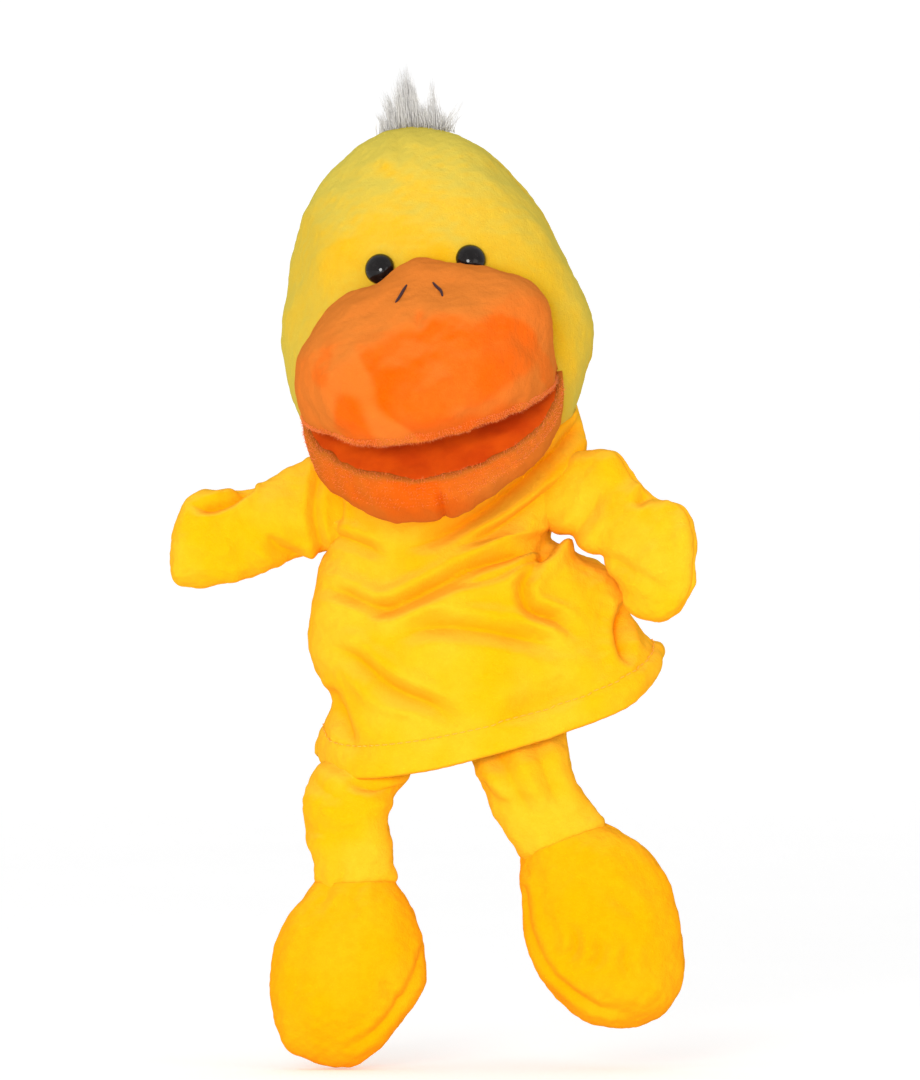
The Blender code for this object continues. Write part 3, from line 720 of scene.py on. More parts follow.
def make_looks():
    # The rim colours are painted on cloth seen edge on, a painted sheen; on the body and feet they are
    # darker, a painted shade at the edges. edge sets how strongly it is painted; sheen is the shader's own
    # sheen.
    body = dict(deep=(0.98, 0.315, 0.001), pale=(0.91, 0.49, 0.032), rim_sheen=(0.6, 0.4, 0.03))
    foot = dict(deep=(0.95, 0.24, 0.0), pale=(0.95, 0.43, 0.012), rim_sheen=(0.56, 0.3, 0.02))
    wear_and_rim_sheen = dict(edge=0.6, sheen=0.1)
    return {
        "body_plush": plush("body_plush", (1.0, 0.39, 0.002), patches=0.45, **body, **wear_and_rim_sheen),
        "foot_plush": plush("foot_plush", (1.0, 0.36, 0.001), patches=0.3, **foot, **wear_and_rim_sheen),
        "head_plush": plush(
            "head_plush", (0.66, 0.36, 0.002), (0.64, 0.28, 0.001), (0.54, 0.46, 0.08), 0.3, 0.12, edge=0.95
        ),
        "bill_plush": plush(
            "bill_plush", (0.75, 0.09, 0.0), (0.56, 0.05, 0.0), (0.6, 0.18, 0.028), 0.3, 0.08, 0.014, 0.8
        ),
        "jaw_plush": plush(
            "jaw_plush", (0.62, 0.078, 0.0), (0.48, 0.045, 0.0), (0.5, 0.15, 0.02), 0.4, 0.08, 0.014, 0.8
        ),
        "mouth_lining": cloth("mouth_lining", (0.82, 0.11, 0.002), (0.5, 0.02, 0.0), 1300.0),
        "backing": cloth("backing", (0.8, 0.42, 0.06), (0.7, 0.28, 0.02), 900.0),
        "pocket_cloth": cloth("pocket_cloth", (0.7, 0.34, 0.03), (0.55, 0.22, 0.01), 900.0),
        "eye_plastic": eye_plastic(),
        "washer_plastic": moulded("washer_plastic", (0.8, 0.8, 0.76)),
        "board": card(),
        "thread": thread("thread", (0.05, 0.006, 0.012), (0.02, 0.002, 0.004)),
        "hem_thread": thread("hem_thread", (1.0, 0.55, 0.05), (0.9, 0.3, 0.0)),
        "tuft_fur": fur("tuft_fur", (0.8, 0.78, 0.75), (0.5, 0.48, 0.46)),
        "lip_fibre": fur("lip_fibre", (1.0, 0.3, 0.045), (0.85, 0.15, 0.005)),
    }


def cloth(name, colour, deep, threads):
    """Plain woven cloth: a fine weave, with the shade field painted in as deeper colour, a painted shade in
    folds and hollows.
    """
    nodes = Nodes(name)
    rest = nodes.rest()
    waves = []
    for direction in ("X", "Z"):
        settings = {"bands_direction": direction}
        wave = nodes.node("ShaderNodeTexWave", settings, Scale=threads, Distortion=1.5)
        nodes.feed(wave.inputs["Vector"], rest)
        waves.append(wave.outputs["Fac"])
    weave = nodes.math("MULTIPLY", waves[0], waves[1])
    wear_and_rim_sheen = nodes.stretch(nodes.noise(rest, 60.0, 4.0), 0.3, 0.7)
    tone = nodes.tint(rgb(*colour), wear_and_rim_sheen, 0.5, deep)
    tone = nodes.tint(tone, weave, 0.2, deep)
    shade = nodes.math("MINIMUM", nodes.field("shade"), 1.0)
    tone = nodes.tint(tone, shade, 0.8, deep)
    normal = nodes.bump(weave, 0.0003, 0.6)
    return nodes.surface(Base_Color=tone, Roughness=0.9, Specular_IOR_Level=0.1, Normal=normal)


def eye_plastic():
    nodes = Nodes("eye_plastic")
    rest = nodes.rest()
    haze = nodes.stretch(nodes.noise(rest, 500.0, 4.0), 0.4, 0.8)
    tone = nodes.mix(haze, rgb(0.004, 0.003, 0.003), rgb(0.012, 0.01, 0.01))
    rough = nodes.math("ADD", nodes.math("MULTIPLY", haze, 0.1), 0.08)
    return nodes.surface(Base_Color=tone, Roughness=rough, Specular_IOR_Level=0.25)


def moulded(name, colour):
    nodes = Nodes(name)
    rest = nodes.node("ShaderNodeTexCoord").outputs["Object"]
    grain = nodes.noise(rest, 900.0, 3.0)
    tone = nodes.mix(grain, rgb(*colour), rgb(*(c * 0.85 for c in colour)))
    return nodes.surface(Base_Color=tone, Roughness=0.45, Normal=nodes.bump(grain, 0.0001, 0.3))


def card():
    """Grey pressed board with loose fibres."""
    nodes = Nodes("board")
    rest = nodes.rest()
    fibres = nodes.noise(rest, 700.0, 6.0, 0.75)
    tone = nodes.mix(nodes.stretch(fibres, 0.4, 0.6), rgb(0.42, 0.37, 0.3), rgb(0.3, 0.26, 0.2))
    return nodes.surface(Base_Color=tone, Roughness=0.85, Normal=nodes.bump(fibres, 0.0002, 0.5))


def thread(name, colour, deep):
    nodes = Nodes(name)
    rest = nodes.rest()
    ply = nodes.node("ShaderNodeTexWave", {"bands_direction": "DIAGONAL"}, Scale=900.0, Distortion=0.5)
    nodes.feed(ply.inputs["Vector"], rest)
    tone = nodes.mix(ply.outputs["Fac"], rgb(*colour), rgb(*deep))
    return nodes.surface(Base_Color=tone, Roughness=0.7, Normal=nodes.bump(ply.outputs["Fac"], 0.0002, 0.6))


def fur(name, colour, deep):
    nodes = Nodes(name)
    streak = nodes.noise(nodes.rest(), 1800.0, 2.0)
    tone = nodes.mix(nodes.field("shade"), rgb(*colour), rgb(*deep))
    tone = nodes.tint(tone, streak, 0.4, deep)
    return nodes.surface(Base_Color=tone, Roughness=0.6, Specular_IOR_Level=0.3, Sheen_Weight=0.2)


# ---- Torso ----
# Whether a fold fades at its first and last points.
FREE, INWARD, OUTWARD, ACROSS = (True, True), (False, True), (True, False), (False, False)
# Folds across the front of the glove: path of (x, z), depth, width, ends, sharpness.
TORSO_FOLDS = (
    (((44, 213), (32, 208), (10, 200), (-10, 190), (-26, 183), (-40, 178)), 7.0, 2.9, INWARD, 1.2),
    (((47, 212), (30, 202), (14, 195), (-4, 191)), 3.6, 1.9, INWARD, 1.1),
    (((-52, 193), (-42, 190), (-30, 185), (-18, 184)), 4.2, 2.5, FREE, 1.3),
    (((-28, 168), (-9, 176), (14, 175), (34, 171), (49, 168)), 4.6, 3.4, FREE, 1.3),
    (((39, 206), (29, 193), (31, 185), (44, 179), (53, 170)), 5.4, 2.5, INWARD, 1.2),
    (((-53, 172), (-37, 164), (-22, 152), (-3, 143), (6, 133)), 4.8, 3.2, FREE, 1.3),
    (((12, 137), (34, 146), (60, 156)), 3.0, 5.0, FREE, 1.7),
    (((70, 184), (68, 172), (71, 160)), 5.0, 2.4, INWARD, 1.2),
    (((-47, 149), (-42, 138), (-38, 128)), 3.6, 2.8, INWARD, 1.4),
    (((54, 258), (40, 244), (26, 232), (8, 219), (-10, 210), (-24, 206)), 5.2, 2.8, INWARD, 1.2),
    (((46, 236), (32, 224), (16, 214), (-2, 206)), 3.6, 2.2, FREE, 1.2),
    (((-52, 243), (-45, 228), (-46, 212)), 3.2, 2.0, FREE, 1.3),
    (((45, 210), (52, 219), (62, 228)), 3.4, 1.8, INWARD, 1.2),
    (((-52, 214), (-38, 210), (-24, 204)), 3.2, 2.4, INWARD, 1.4),
)
BACK_FOLDS = (
    (((-40, 205), (-15, 190), (20, 184), (50, 190)), 3.4, 5.0, FREE, 1.7),
    (((50, 208), (25, 195), (0, 168), (-20, 150)), 2.8, 5.0, INWARD, 1.7),
    (((-50, 230), (-20, 215), (10, 214), (40, 228)), 2.4, 4.5, FREE, 1.7),
    (((10, 170), (30, 155), (40, 140)), 2.4, 5.0, FREE, 1.8),
)
TORSO_COLUMNS, TORSO_LEVELS = 260, 190


def build_torso(looks):
    rows = smooth_rows(TORSO_ROWS, TORSO_LEVELS)
    points, out = loft(rows, TORSO_MIDDLE_Y, columns=TORSO_COLUMNS, fullness=2.5)
    flat = points[..., [0, 2]]
    relief, shade = np.zeros(out.shape), np.zeros(out.shape)
    add_folds(flat, TORSO_FOLDS, ease(out, 0.06, 0.45), relief, shade)
    add_folds(flat, BACK_FOLDS, ease(-out, 0.0, 0.35), relief, shade)
    belly = bell(np.linalg.norm(flat - np.array(BELLY), axis=-1), BELLY_SIZE)
    relief += BELLY_RISE * belly * ease(out, 0.0, 0.5)
    relief += uneven(points, 11, (0.9, 24.0), (0.32, 9.0), (0.1, 2.6))
    level = np.linspace(0, 1, TORSO_LEVELS)[:, None] * np.ones_like(out)
    height = np.linalg.norm(np.gradient(points, axis=0), axis=-1).cumsum(axis=0)
    height -= height[:1]
    hem = bell(height - HEM_WIDTH, 1.3)
    relief -= 0.42 * hem * (1 + 0.4 * np.sin(points[..., 0] * 1.9))
    relief += 0.35 * ease(HEM_WIDTH - height, 0.0, 5.0) * ease(height, 0.0, 4.0)
    shade = np.maximum(shade, 0.18 * hem)
    side = np.abs(out) * 46.0
    seam = bell(side, 1.4) * (level < 0.8)
    relief -= 0.8 * seam
    shade = np.maximum(shade, 0.5 * seam)
    relief *= ease(level, -0.2, 0.05) * (1 - 0.75 * ease(level, 0.86, 0.95))
    relief *= 1 - 0.85 * ease(level, 0.62, 0.76) * ease(-out, -0.2, 0.2)
    normals = grid_normals(points, True)
    outer = points + normals * relief[..., None]
    normals = grid_normals(outer, True)
    inner = outer - normals * CLOTH
    roll = outer[:1] - normals[:1] * CLOTH / 2 - UP * 1.0
    grid = np.concatenate([inner[::-1], roll, outer])
    shades = np.concatenate([shade[::-1] * 0.5 + 0.3, shade[:1] * 0, shade])
    inside = np.zeros(shades.shape, bool)
    inside[: TORSO_LEVELS - 10] = True
    both = [looks["body_plush"], looks["backing"]]
    cover = sheet("torso_cover", from_body(grid), both, wrap=True, shade=shades, second=inside)
    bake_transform(cover)
    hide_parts("torso_front_panel", "torso_back_panel", "hem_band")
    on_line = np.abs(height - HEM_WIDTH).argmin(axis=0), np.arange(TORSO_COLUMNS)
    build_stitches(from_body(outer[on_line] + normals[on_line] * 0.3), looks["hem_thread"])


STITCH_STOPS = np.array((0.12, 0.3, 0.5, 0.7, 0.88))  # shares of a stitch's length, and its thickness at each
STITCH_SHAPE = (0.35, 0.9, 1.0, 0.9, 0.35)


def build_stitches(line, look):
    """Short thread stitches end to end along the hem's closed line."""
    closed = np.vstack([line, line[:1]])
    at = np.concatenate([[0], np.cumsum(np.linalg.norm(np.diff(closed, axis=0), axis=1))])
    count = int(at[-1] / (HEM_STITCH * MM))
    verts, faces = [], []
    for i in range(count):
        stops = (i + STITCH_STOPS) / count * at[-1]
        path = np.stack([np.interp(stops, at, closed[:, k]) for k in range(3)], axis=-1)
        along = path[-1] - path[0]
        along /= np.linalg.norm(along)
        aside, other = crosswise(along, UP)
        start = len(verts)
        for p, thick in zip(path, STITCH_SHAPE):
            for k in range(6):
                a = math.pi * k / 3
                verts.append(p + HEM_THREAD * MM * thick * (math.cos(a) * aside + math.sin(a) * other))
        ends = [tuple(reversed(range(6))), tuple(range(24, 30))]
        faces += [tuple(start + k for k in face) for face in ring_quads(len(path), 6) + ends]
    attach(new_piece("hem_stitching", verts, faces, [look]), "torso")


# ---- Head ----
HEAD_COLUMNS, HEAD_LEVELS = 250, 170


def build_head(looks):
    rows = smooth_rows(HEAD_ROWS, HEAD_LEVELS, 2)
    points, out = head_points(rows, HEAD_COLUMNS)
    normals = grid_normals(points, True)
    relief = uneven(points, 21, (0.7, 24.0), (0.22, 8.0), (0.08, 2.4))
    seam = bell(points[..., 1] - HEAD_MIDDLE_Y, 1.5) * ease(points[..., 2], -30.0, -20.0)
    relief -= 0.9 * seam * (1 + 0.3 * np.sin(points[..., 2] * 1.7))
    flat = points[..., [0, 2]]
    front = ease(out, 0.0, 0.2)
    dart, dart_shade = fold(flat, ((-4, 86), (-3.5, 78), (-4.5, 70)), 1.0, 2.6, INWARD)
    relief += dart * front
    shade = np.maximum(0.55 * seam, 0.5 * dart_shade * front)
    lower = bell(points[..., 2] + 35.0 - rows[:, 3][:, None] * np.maximum(out, 0), 3.0)
    shade = np.maximum(shade, 0.6 * lower)
    relief *= 1 - 0.6 * ease(rows[:, 0], 84.0, 88.0)[:, None]
    surface = points + normals * relief[..., None]
    cover = sheet(
        "head_cover",
        from_head(surface),
        [looks["head_plush"]],
        wrap=True,
        caps=(False, True),
        shade=shade,
        keep=~inside_bill(surface),
    )
    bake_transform(cover)
    hidden = ("head_stuffing", "tuft_backing", "neck_seam_tape")
    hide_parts("head_front_panel", "head_back_panel", *hidden)
    return surface


def inside_bill(points):
    """Whether each of the head's points is hidden inside the bill or its mouth."""
    y, z = HINGE_Y - points[..., 1], points[..., 2] - HINGE_Z
    angle = np.degrees(np.arctan2(z, y))
    outline = np.vstack([UPPER_BILL[1:9], LOWER_BILL[4:10]])[::-1]
    limit, square = (np.interp(angle, outline[:, 1], outline[:, i]) for i in (0, 3))
    across = (points[..., 0] - bill_middle(z)) / MOUTH_HALF
    share = np.clip(1 - across**2, 0, 1) ** (square / 2)
    hidden = (np.hypot(y, z) < limit * share - 3.0) & (angle > -66.0) & (angle < 72.0)
    return hidden & (np.abs(across) < 0.88)


# ---- Bill ----
BILL_COLUMNS, BILL_LEVELS = 220, 110
VIVID_MIDDLE, VIVID_HALF = (7.0, -15.0), (42.0, 23.0)  # x and z of the middle patch that gets no painted sheen; away from it the bill is painted paler


def bill_turns(count):
    """Turns from the left corner to the right one, closest together at the corners."""
    return math.pi / 2 * (1 + np.cos(np.linspace(0.004, 0.996, count) * math.pi))


def build_upper_bill(looks):
    profile = smooth_rows(UPPER_BILL, BILL_LEVELS, 2)
    turns = bill_turns(BILL_COLUMNS)
    points = stuffed(bill_surface(profile, turns, BILL_TWIST), BILL_SWELL, wrap=False)
    normals = bill_normals(points)
    flat = points[..., [0, 2]]
    outer = ease(profile[:, 1], -20.0, -12.0)[:, None]
    relief = uneven(points, 31, (0.8, 20.0), (0.3, 7.0), (0.1, 2.2))
    dimple, dark = fold(flat, ((0.6, 13), (0.8, 9), (0.4, 5)), 1.3, 2.2)
    relief = relief + dimple * outer
    pucker = bell(profile[:, 1] - 74.0, 9.0)[:, None]
    relief -= pucker * (0.8 + 0.5 * np.sin(points[..., 0] * 1.1))
    surface = points + normals * relief[..., None] * np.sin(turns)[None, :, None] ** 0.5
    shade = np.maximum(0.6 * dark * outer, 0.55 * pucker)
    under = ease(62.5 - profile[:, 0], 0.0, 6.0)
    shade = np.maximum(shade, 0.5 * (under * (profile[:, 1] < -10.0))[:, None])
    # Painted sheen: away from its vivid middle, toward its sides, top and lip, the bill is painted paler,
    # except in its shaded folds.
    spread = np.hypot(*((points[..., (0, 2)] - VIVID_MIDDLE) / VIVID_HALF).transpose(2, 0, 1))
    pale = ease(spread + 0.32 * mottle(points, 12.0, 34), 0.6, 1.15)
    shade = shade - 0.42 * pale * (1 - np.minimum(1.0, 3.0 * shade))
    cover = sheet("upper_bill", from_head(surface), [looks["bill_plush"]], shade=shade)
    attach(cover, "head")
    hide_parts("upper_bill_cover", "upper_bill_stuffing")
    return surface


def bill_normals(points):
    normal = grid_normals(points, False)
    outward = points - np.array((0.0, HINGE_Y, HINGE_Z))
    return normal * np.where((normal * outward).sum() > 0, 1.0, -1.0)


def build_lower_bill(looks):
    profile = smooth_rows(LOWER_BILL, BILL_LEVELS, 2)
    turns = bill_turns(BILL_COLUMNS)
    points = bill_surface(profile, turns, JAW_TWIST, 0.7)
    normals = bill_normals(points)
    relief = uneven(points, 41, (0.5, 16.0), (0.25, 6.0), (0.1, 2.2))
    below = ease(-profile[:, 1], 41.0, 44.0)[:, None]
    seam = bell(points[..., 0] + 1.0, 1.3) * below
    relief = relief - 1.3 * seam * (1 + 0.3 * np.sin(points[..., 2] * 2.0))
    relief += 0.8 * bell(np.abs(points[..., 0] + 1.0) - 4.0, 3.0) * below
    surface = points + normals * relief[..., None] * np.sin(turns)[None, :, None] ** 0.5
    shade = np.maximum(0.7 * seam, 0.6 * ease(-profile[:, 1], 66.0, 72.0)[:, None])
    # Mixed toward the pale, browner colour: a little everywhere, as the jaw's own tone, and more toward the
    # right side, a painted shade.
    pale = 0.4 + 0.6 * ease(points[..., 0] + 8.0 * mottle(points, 14.0, 44), 0.0, 40.0)
    shade = shade - 0.4 * pale * (1 - np.minimum(1.0, 3.0 * shade))
    cover = sheet("lower_bill", from_head(surface), [looks["jaw_plush"]], shade=shade)
    jaw_blend(cover)
    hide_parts("lower_bill_cover", "lower_bill_stuffing")
    return surface


def jaw_blend(piece):
    """Bakes the piece's place into its points."""
    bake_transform(piece)


def build_mouth(looks):
    turns = bill_turns(120)
    for name, angle, reach, twist, nodes in (
        ("mouth_roof", ROOF_ANGLE, 61.0, BILL_TWIST, ("upper_mouth_lining", "mouth_fold_tape")),
        ("mouth_floor", FLOOR_ANGLE, 62.5, JAW_TWIST, ("lower_mouth_lining",)),
    ):
        share = np.linspace(0.0, 1.0, 50)
        sag = 1.5 * np.sin(share * math.pi)
        points = bill_surface(flat_profile(reach * share, angle, 1.0, 0.85), turns, twist)
        points[..., 2] += 0.5 * sag[:, None] * (angle == ROOF_ANGLE)
        points[..., 2] += 0.25 * mottle(points, 9.0, 51)
        shade = np.broadcast_to((1 - ease(share, 0.1, 0.75))[:, None], points.shape[:2])
        lining = sheet(name, from_head(points), [looks["mouth_lining"]], shade=shade)
        if angle == ROOF_ANGLE:
            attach(lining, "head")
        else:
            jaw_blend(lining)
        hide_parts(*nodes)


# A board's section: reach from the mouth's fold after its back edge, and distance from the lining.
BOARD_REACH = (30.0, 51.0, 51.8, 52.0, 51.8, 51.0, 30.0)
BOARD_LIFT = (1.9, 1.9, 1.9, 2.1, 2.7, 3.3, 3.5, 3.5, 3.5, 1.9)


def build_boards(looks):
    """The stiff boards behind the mouth's linings, each a flat slab with its edges rounded."""
    for side, body, angle, twist, start, sign in (
        ("upper", "head", ROOF_ANGLE, BILL_TWIST, 8.0, 1.0),
        ("lower", "jaw", FLOOR_ANGLE, JAW_TWIST, 24.0, -1.0),
    ):
        reach = np.array((start, *BOARD_REACH, start, start))
        points = bill_surface(flat_profile(reach, angle, 0.88, 0.9), bill_turns(90), twist)
        slope = math.radians(angle)
        lift = sign * np.array(BOARD_LIFT)[:, None, None]
        points = points + lift * np.array((0.0, math.sin(slope), math.cos(slope)))
        board = sheet(f"{side}_board", from_head(points), [looks["board"]])
        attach(board, body)
        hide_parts(f"{side}_mouth_board")


def nearest(surface, normals, x, z):
    """The front point of a surface nearest to (x, z), and its normal, in the head's place."""
    far = np.hypot(surface[..., 0] - x, surface[..., 2] - z) + np.where(normals[..., 1] > 0, 1e3, 0)
    k = np.unravel_index(far.argmin(), far.shape)
    return surface[k], normals[k]


def tube(name, path, radii, look, sides=8):
    """A closed tube along a path, in metres."""
    along = np.gradient(path, axis=0)
    along /= np.linalg.norm(along, axis=1)[:, None]
    aside, other = crosswise(along, (0.31, 0.52, 0.79))
    turns = np.linspace(0, 2 * math.pi, sides, endpoint=False)[None, :, None]
    ring = np.cos(turns) * aside[:, None] + np.sin(turns) * other[:, None]
    return sheet(name, path[:, None] + ring * radii[:, None, None], [look], wrap=True, caps=(True, True))


NOSTRIL_HALF, NOSTRIL_TOP, NOSTRIL_MIDDLE = 5.0, 23.2, 1.4
NOSTRIL_WIDEN, NOSTRIL_FALL = 4.3, 6.6
NOSTRIL_THREAD = 0.62


def build_nostrils(looks, surface):
    """A line of dark thread on each side of the bill's bridge, slanting down and out."""
    normals = bill_normals(surface)
    for side, sign in (("left", -1.0), ("right", 1.0)):
        stops = []
        for share in (0.0, 0.35, 0.7, 1.0):
            x = sign * (NOSTRIL_HALF + NOSTRIL_WIDEN * share) + NOSTRIL_MIDDLE
            point, normal = nearest(surface, normals, x, NOSTRIL_TOP - NOSTRIL_FALL * share)
            stops.append(point + normal * (0.1 + 0.5 * math.sin(math.pi * share)))
        path = from_head(smooth_rows(np.array(stops), 22, 3))
        radii = NOSTRIL_THREAD * MM * np.sin(np.linspace(0.12, math.pi - 0.12, 22)) ** 0.35
        stitch = tube(f"{side}_nostril_thread", path, radii, looks["thread"])
        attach(stitch, "head")
        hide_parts(f"{side}_nostril_stitch")


# Bands of pile along the lips: from and to as shares of the bill's outline, and the number of fibres.
UPPER_LIP, LOWER_LIP = (0.835, 0.9, 3200), (0.1, 0.2, 2400)
LIP_PILE_SHORT, LIP_PILE_LONG, LIP_FIBRE = 0.6, 1.9, 0.08


def build_lip_fibres(looks, upper, lower):
    """Longer pile that stands out along the two lips."""
    for name, surface, (low, high, count) in (
        ("upper_lip_pile", upper, UPPER_LIP),
        ("lower_lip_pile", lower, LOWER_LIP),
    ):
        normals = bill_normals(surface)
        rows = (rng.uniform(low, high, count) * (surface.shape[0] - 1)).astype(int)
        turns = np.arccos(rng.uniform(-0.97, 0.97, count)) / math.pi
        columns = (turns * (surface.shape[1] - 1)).astype(int)
        roots = surface[rows, columns] - normals[rows, columns] * 0.2
        headings = normals[rows, columns] + rng.normal(scale=0.5, size=(count, 3))
        lengths = rng.uniform(LIP_PILE_SHORT, LIP_PILE_LONG, count) * MM
        headings = headings @ HEAD_TURN
        pile = strands(name, from_head(roots), headings, lengths, LIP_FIBRE * MM, looks["lip_fibre"], 0.35, 3)
        if surface is upper:
            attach(pile, "head")
        else:
            jaw_blend(pile)


# ---- Eyes ----
EYE_DROP = {"left": 0.8, "right": 2.0}
EYE_STAND, EYE_INWARD = 5.4, 1.9  # from the washer: how far out, and how far toward the face's middle
EYE_RADIUS, EYE_RISE = 6.1, 5.0
EYE_SKIRT = ((2.2, -5.0), (2.2, 0.0), (5.4, 0.2), (5.95, 0.6), (6.15, 1.1))  # radius and height


def box_middle(node):
    low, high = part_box(node)
    return np.array((low + high) / 2)


def build_eyes(looks):
    """Domed black buttons, set a little into the plush."""
    for side in ("left", "right"):
        middle, washer = box_middle(f"{side}_eye"), box_middle(f"{side}_eye_washer")
        axis = middle - washer
        axis /= np.linalg.norm(axis)
        aside, other = crosswise(axis, UP)
        inward = np.sign((HEAD_ORIGIN - washer) @ HEAD_X) * HEAD_X
        seat = washer + (axis * EYE_STAND + inward * EYE_INWARD - HEAD_Z * EYE_DROP[side]) * MM
        lean = np.linspace(0, math.pi / 2, 22)
        dome = np.stack([EYE_RADIUS * np.cos(lean), 1.6 + EYE_RISE * np.sin(lean)], axis=-1)
        outline = np.vstack([EYE_SKIRT, dome[:-1], ((0.25, 6.6),)]) * MM
        turns = np.linspace(0, 2 * math.pi, 48, endpoint=False)[None, :, None]
        ring = np.cos(turns) * aside + np.sin(turns) * other
        points = seat + outline[:, None, :1] * ring + outline[:, None, 1:] * axis
        eye = sheet(f"{side}_eye_button", points, [looks["eye_plastic"]], wrap=True, caps=(True, True))
        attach(eye, "head")
        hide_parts(f"{side}_eye")


# ---- Tuft ----
# Clumps of fur along the crown: x, spread, length, lean to the right, number of fibres.
CLUMPS = (
    (-9.0, 0.34, 9.0, -0.2, 90),
    (-5.5, 0.30, 17.0, -0.1, 120),
    (-2.0, 0.26, 22.0, 0.02, 150),
    (1.0, 0.24, 27.0, 0.04, 160),
    (3.5, 0.26, 21.0, 0.0, 130),
    (7.0, 0.32, 10.0, 0.05, 110),
    (11.0, 0.12, 21.0, 0.03, 50),
    (10.5, 0.3, 8.0, 0.2, 70),
    (13.5, 0.3, 6.0, 0.4, 50),
    (13.5, 0.3, 12.0, 0.8, 9),
    (14.0, 0.3, 9.0, 1.1, 7),
)
CROWN = 87.0  # height of the crown's seam in the head's place
FUR_FIBRE = 0.16


def build_tuft(looks):
    """Clumps of long fur that stand up from the seam over the crown."""
    roots, headings, lengths = [], [], []
    for x, spread, length, lean, count in CLUMPS:
        x_root = x + 0.5 + rng.normal(scale=1.9, size=count)
        y_root = HEAD_MIDDLE_Y + rng.normal(scale=1.8, size=count)
        z_root = CROWN - 0.012 * x_root**2 - 0.04 * (y_root - HEAD_MIDDLE_Y) ** 2
        tip = np.array((x + lean * length * 1.1, HEAD_MIDDLE_Y + rng.normal(scale=3.0), CROWN + length))
        root = np.stack([x_root, y_root, z_root], axis=-1)
        aim = tip + rng.normal(scale=(spread * 4.2, spread * 4.2, 1.0), size=(count, 3)) - root
        roots.append(root)
        headings.append(aim)
        lengths.append(np.linalg.norm(aim, axis=1) * rng.uniform(0.55, 1.0, count))
    roots, headings = from_head(np.vstack(roots)), np.vstack(headings) @ HEAD_TURN
    lengths = np.concatenate(lengths) * MM
    hair = strands("crown_tuft", roots, headings, lengths, FUR_FIBRE * MM, looks["tuft_fur"], 0.14)
    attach(hair, "head")
    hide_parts("hair_tuft")


# ---- Limbs ----
def limb_skin(rows, levels, folds, seed, strength, *shape, **more):
    """The finished surface of a limb and its shade, in the body's place. shape and more are as in loft."""
    points, out = loft(smooth_rows(rows, levels), *shape, **more)
    points = stuffed(points, LIMB_SWELL)
    flat = points[..., [0, 2]]
    relief, shade = np.zeros(out.shape), np.zeros(out.shape)
    add_folds(flat, folds, ease(out, -0.05, 0.3), relief, shade)
    relief += strength * uneven(points, seed, (0.8, 15.0), (0.3, 6.5))
    relief += 0.09 * mottle(points, 2.3, seed + 2)
    seam = bell(np.abs(out) * 12.0, 1.1)
    relief -= 0.7 * seam
    shade = np.maximum(shade, 0.4 * seam)
    normals = grid_normals(points, True)
    return points + normals * relief[..., None], shade


LEFT_ARM_FOLDS = (
    (((-51, 206), (-54, 220), (-52, 243)), 2.6, 2.0, ACROSS, 1.4),
    (((-81, 232), (-88, 227), (-99, 224.5), (-105, 226)), 4.2, 1.9, INWARD, 1.2),
    (((-62, 204), (-70, 209), (-74, 214)), 3.0, 2.6, INWARD, 1.5),
    (((-80, 197), (-84, 206), (-84, 216)), 1.2, 3.2, INWARD, 1.7),
)
RIGHT_ARM_FOLDS = (
    (((46, 210), (54, 220), (60, 233)), 1.8, 2.8, INWARD, 1.5),
    (((73, 224), (78, 229), (84, 230)), 3.0, 2.0, OUTWARD, 1.3),
    (((62, 205), (73, 199), (89, 189)), 1.8, 2.4, INWARD, 1.3),
    (((90, 224), (87, 212), (88, 200)), 1.0, 3.6, INWARD, 1.8),
)
ARM_LEVELS, LEG_LEVELS, FOOT_LEVELS = 120, 90, 110
ARM_COLUMNS, LEG_COLUMNS, FOOT_COLUMNS = 120, 100, 130
LIMB_FULLNESS, FOOT_FULLNESS = 2.2, 2.1
LEG_SET_BACK = 13.0  # how far behind the ankle a leg starts, inside the hem
LEFT_LEG_FOLDS = (
    (((-17, 111), (-28, 112), (-42, 116)), 2.6, 2.8, INWARD, 1.5),
    (((-58, 118), (-48, 110), (-38, 108)), 1.6, 3.2, INWARD, 1.6),
    (((-58, 96), (-46, 94), (-34, 97)), 1.2, 3.4, INWARD, 1.7),
    (((-44, 84), (-43, 79), (-44, 75)), 1.2, 2.6, OUTWARD, 1.5),
)
RIGHT_LEG_FOLDS = (
    (((18, 128), (26, 112), (34, 98)), 2.4, 3.0, INWARD, 1.5),
    (((34, 130), (40, 114), (46, 102)), 2.0, 3.0, INWARD, 1.5),
    (((12, 112), (20, 106), (28, 104)), 1.4, 2.8, INWARD, 1.6),
    (((38, 97), (42, 94), (46, 93)), 1.2, 2.6, FREE, 1.5),
)
LEFT_FOOT_FOLDS = (
    (((-9, 50), (-13, 38), (-20, 26), (-33, 13), (-46, 6)), 1.3, 1.7, INWARD, 1.4),
    (((-20, 27), (-24, 32), (-27, 38)), 1.0, 2.2, INWARD, 1.6),
    (((-36, 73), (-38, 66), (-37, 60)), 0.9, 2.2, INWARD, 1.6),
    (((-48, 74), (-51, 68), (-52, 62)), 0.8, 2.2, INWARD, 1.6),
)
RIGHT_FOOT_FOLDS = (
    (((29, 72), (34, 50), (44, 35), (58, 25), (74, 21)), 1.5, 1.6, INWARD, 1.4),
    (((46, 42), (50, 50), (48, 60)), 2.0, 2.2, FREE, 1.5),
    (((54, 38), (60, 46), (58, 56)), 1.7, 2.2, FREE, 1.5),
    (((74, 34), (70, 44), (73, 54)), 1.4, 2.2, FREE, 1.6),
    (((60, 74), (70, 66), (76, 56)), 1.2, 3.0, FREE, 1.7),
)


def joint_frame(side, joint, share_before, share_after, toward):
    """Two points in the row frame, before and after a joint, along the way to toward."""
    place = joint_place(f"{side}_{joint}")
    away = toward - place
    away /= np.linalg.norm(away)
    return tuple(place + away * share_before * MM), tuple(place + away * share_after * MM)


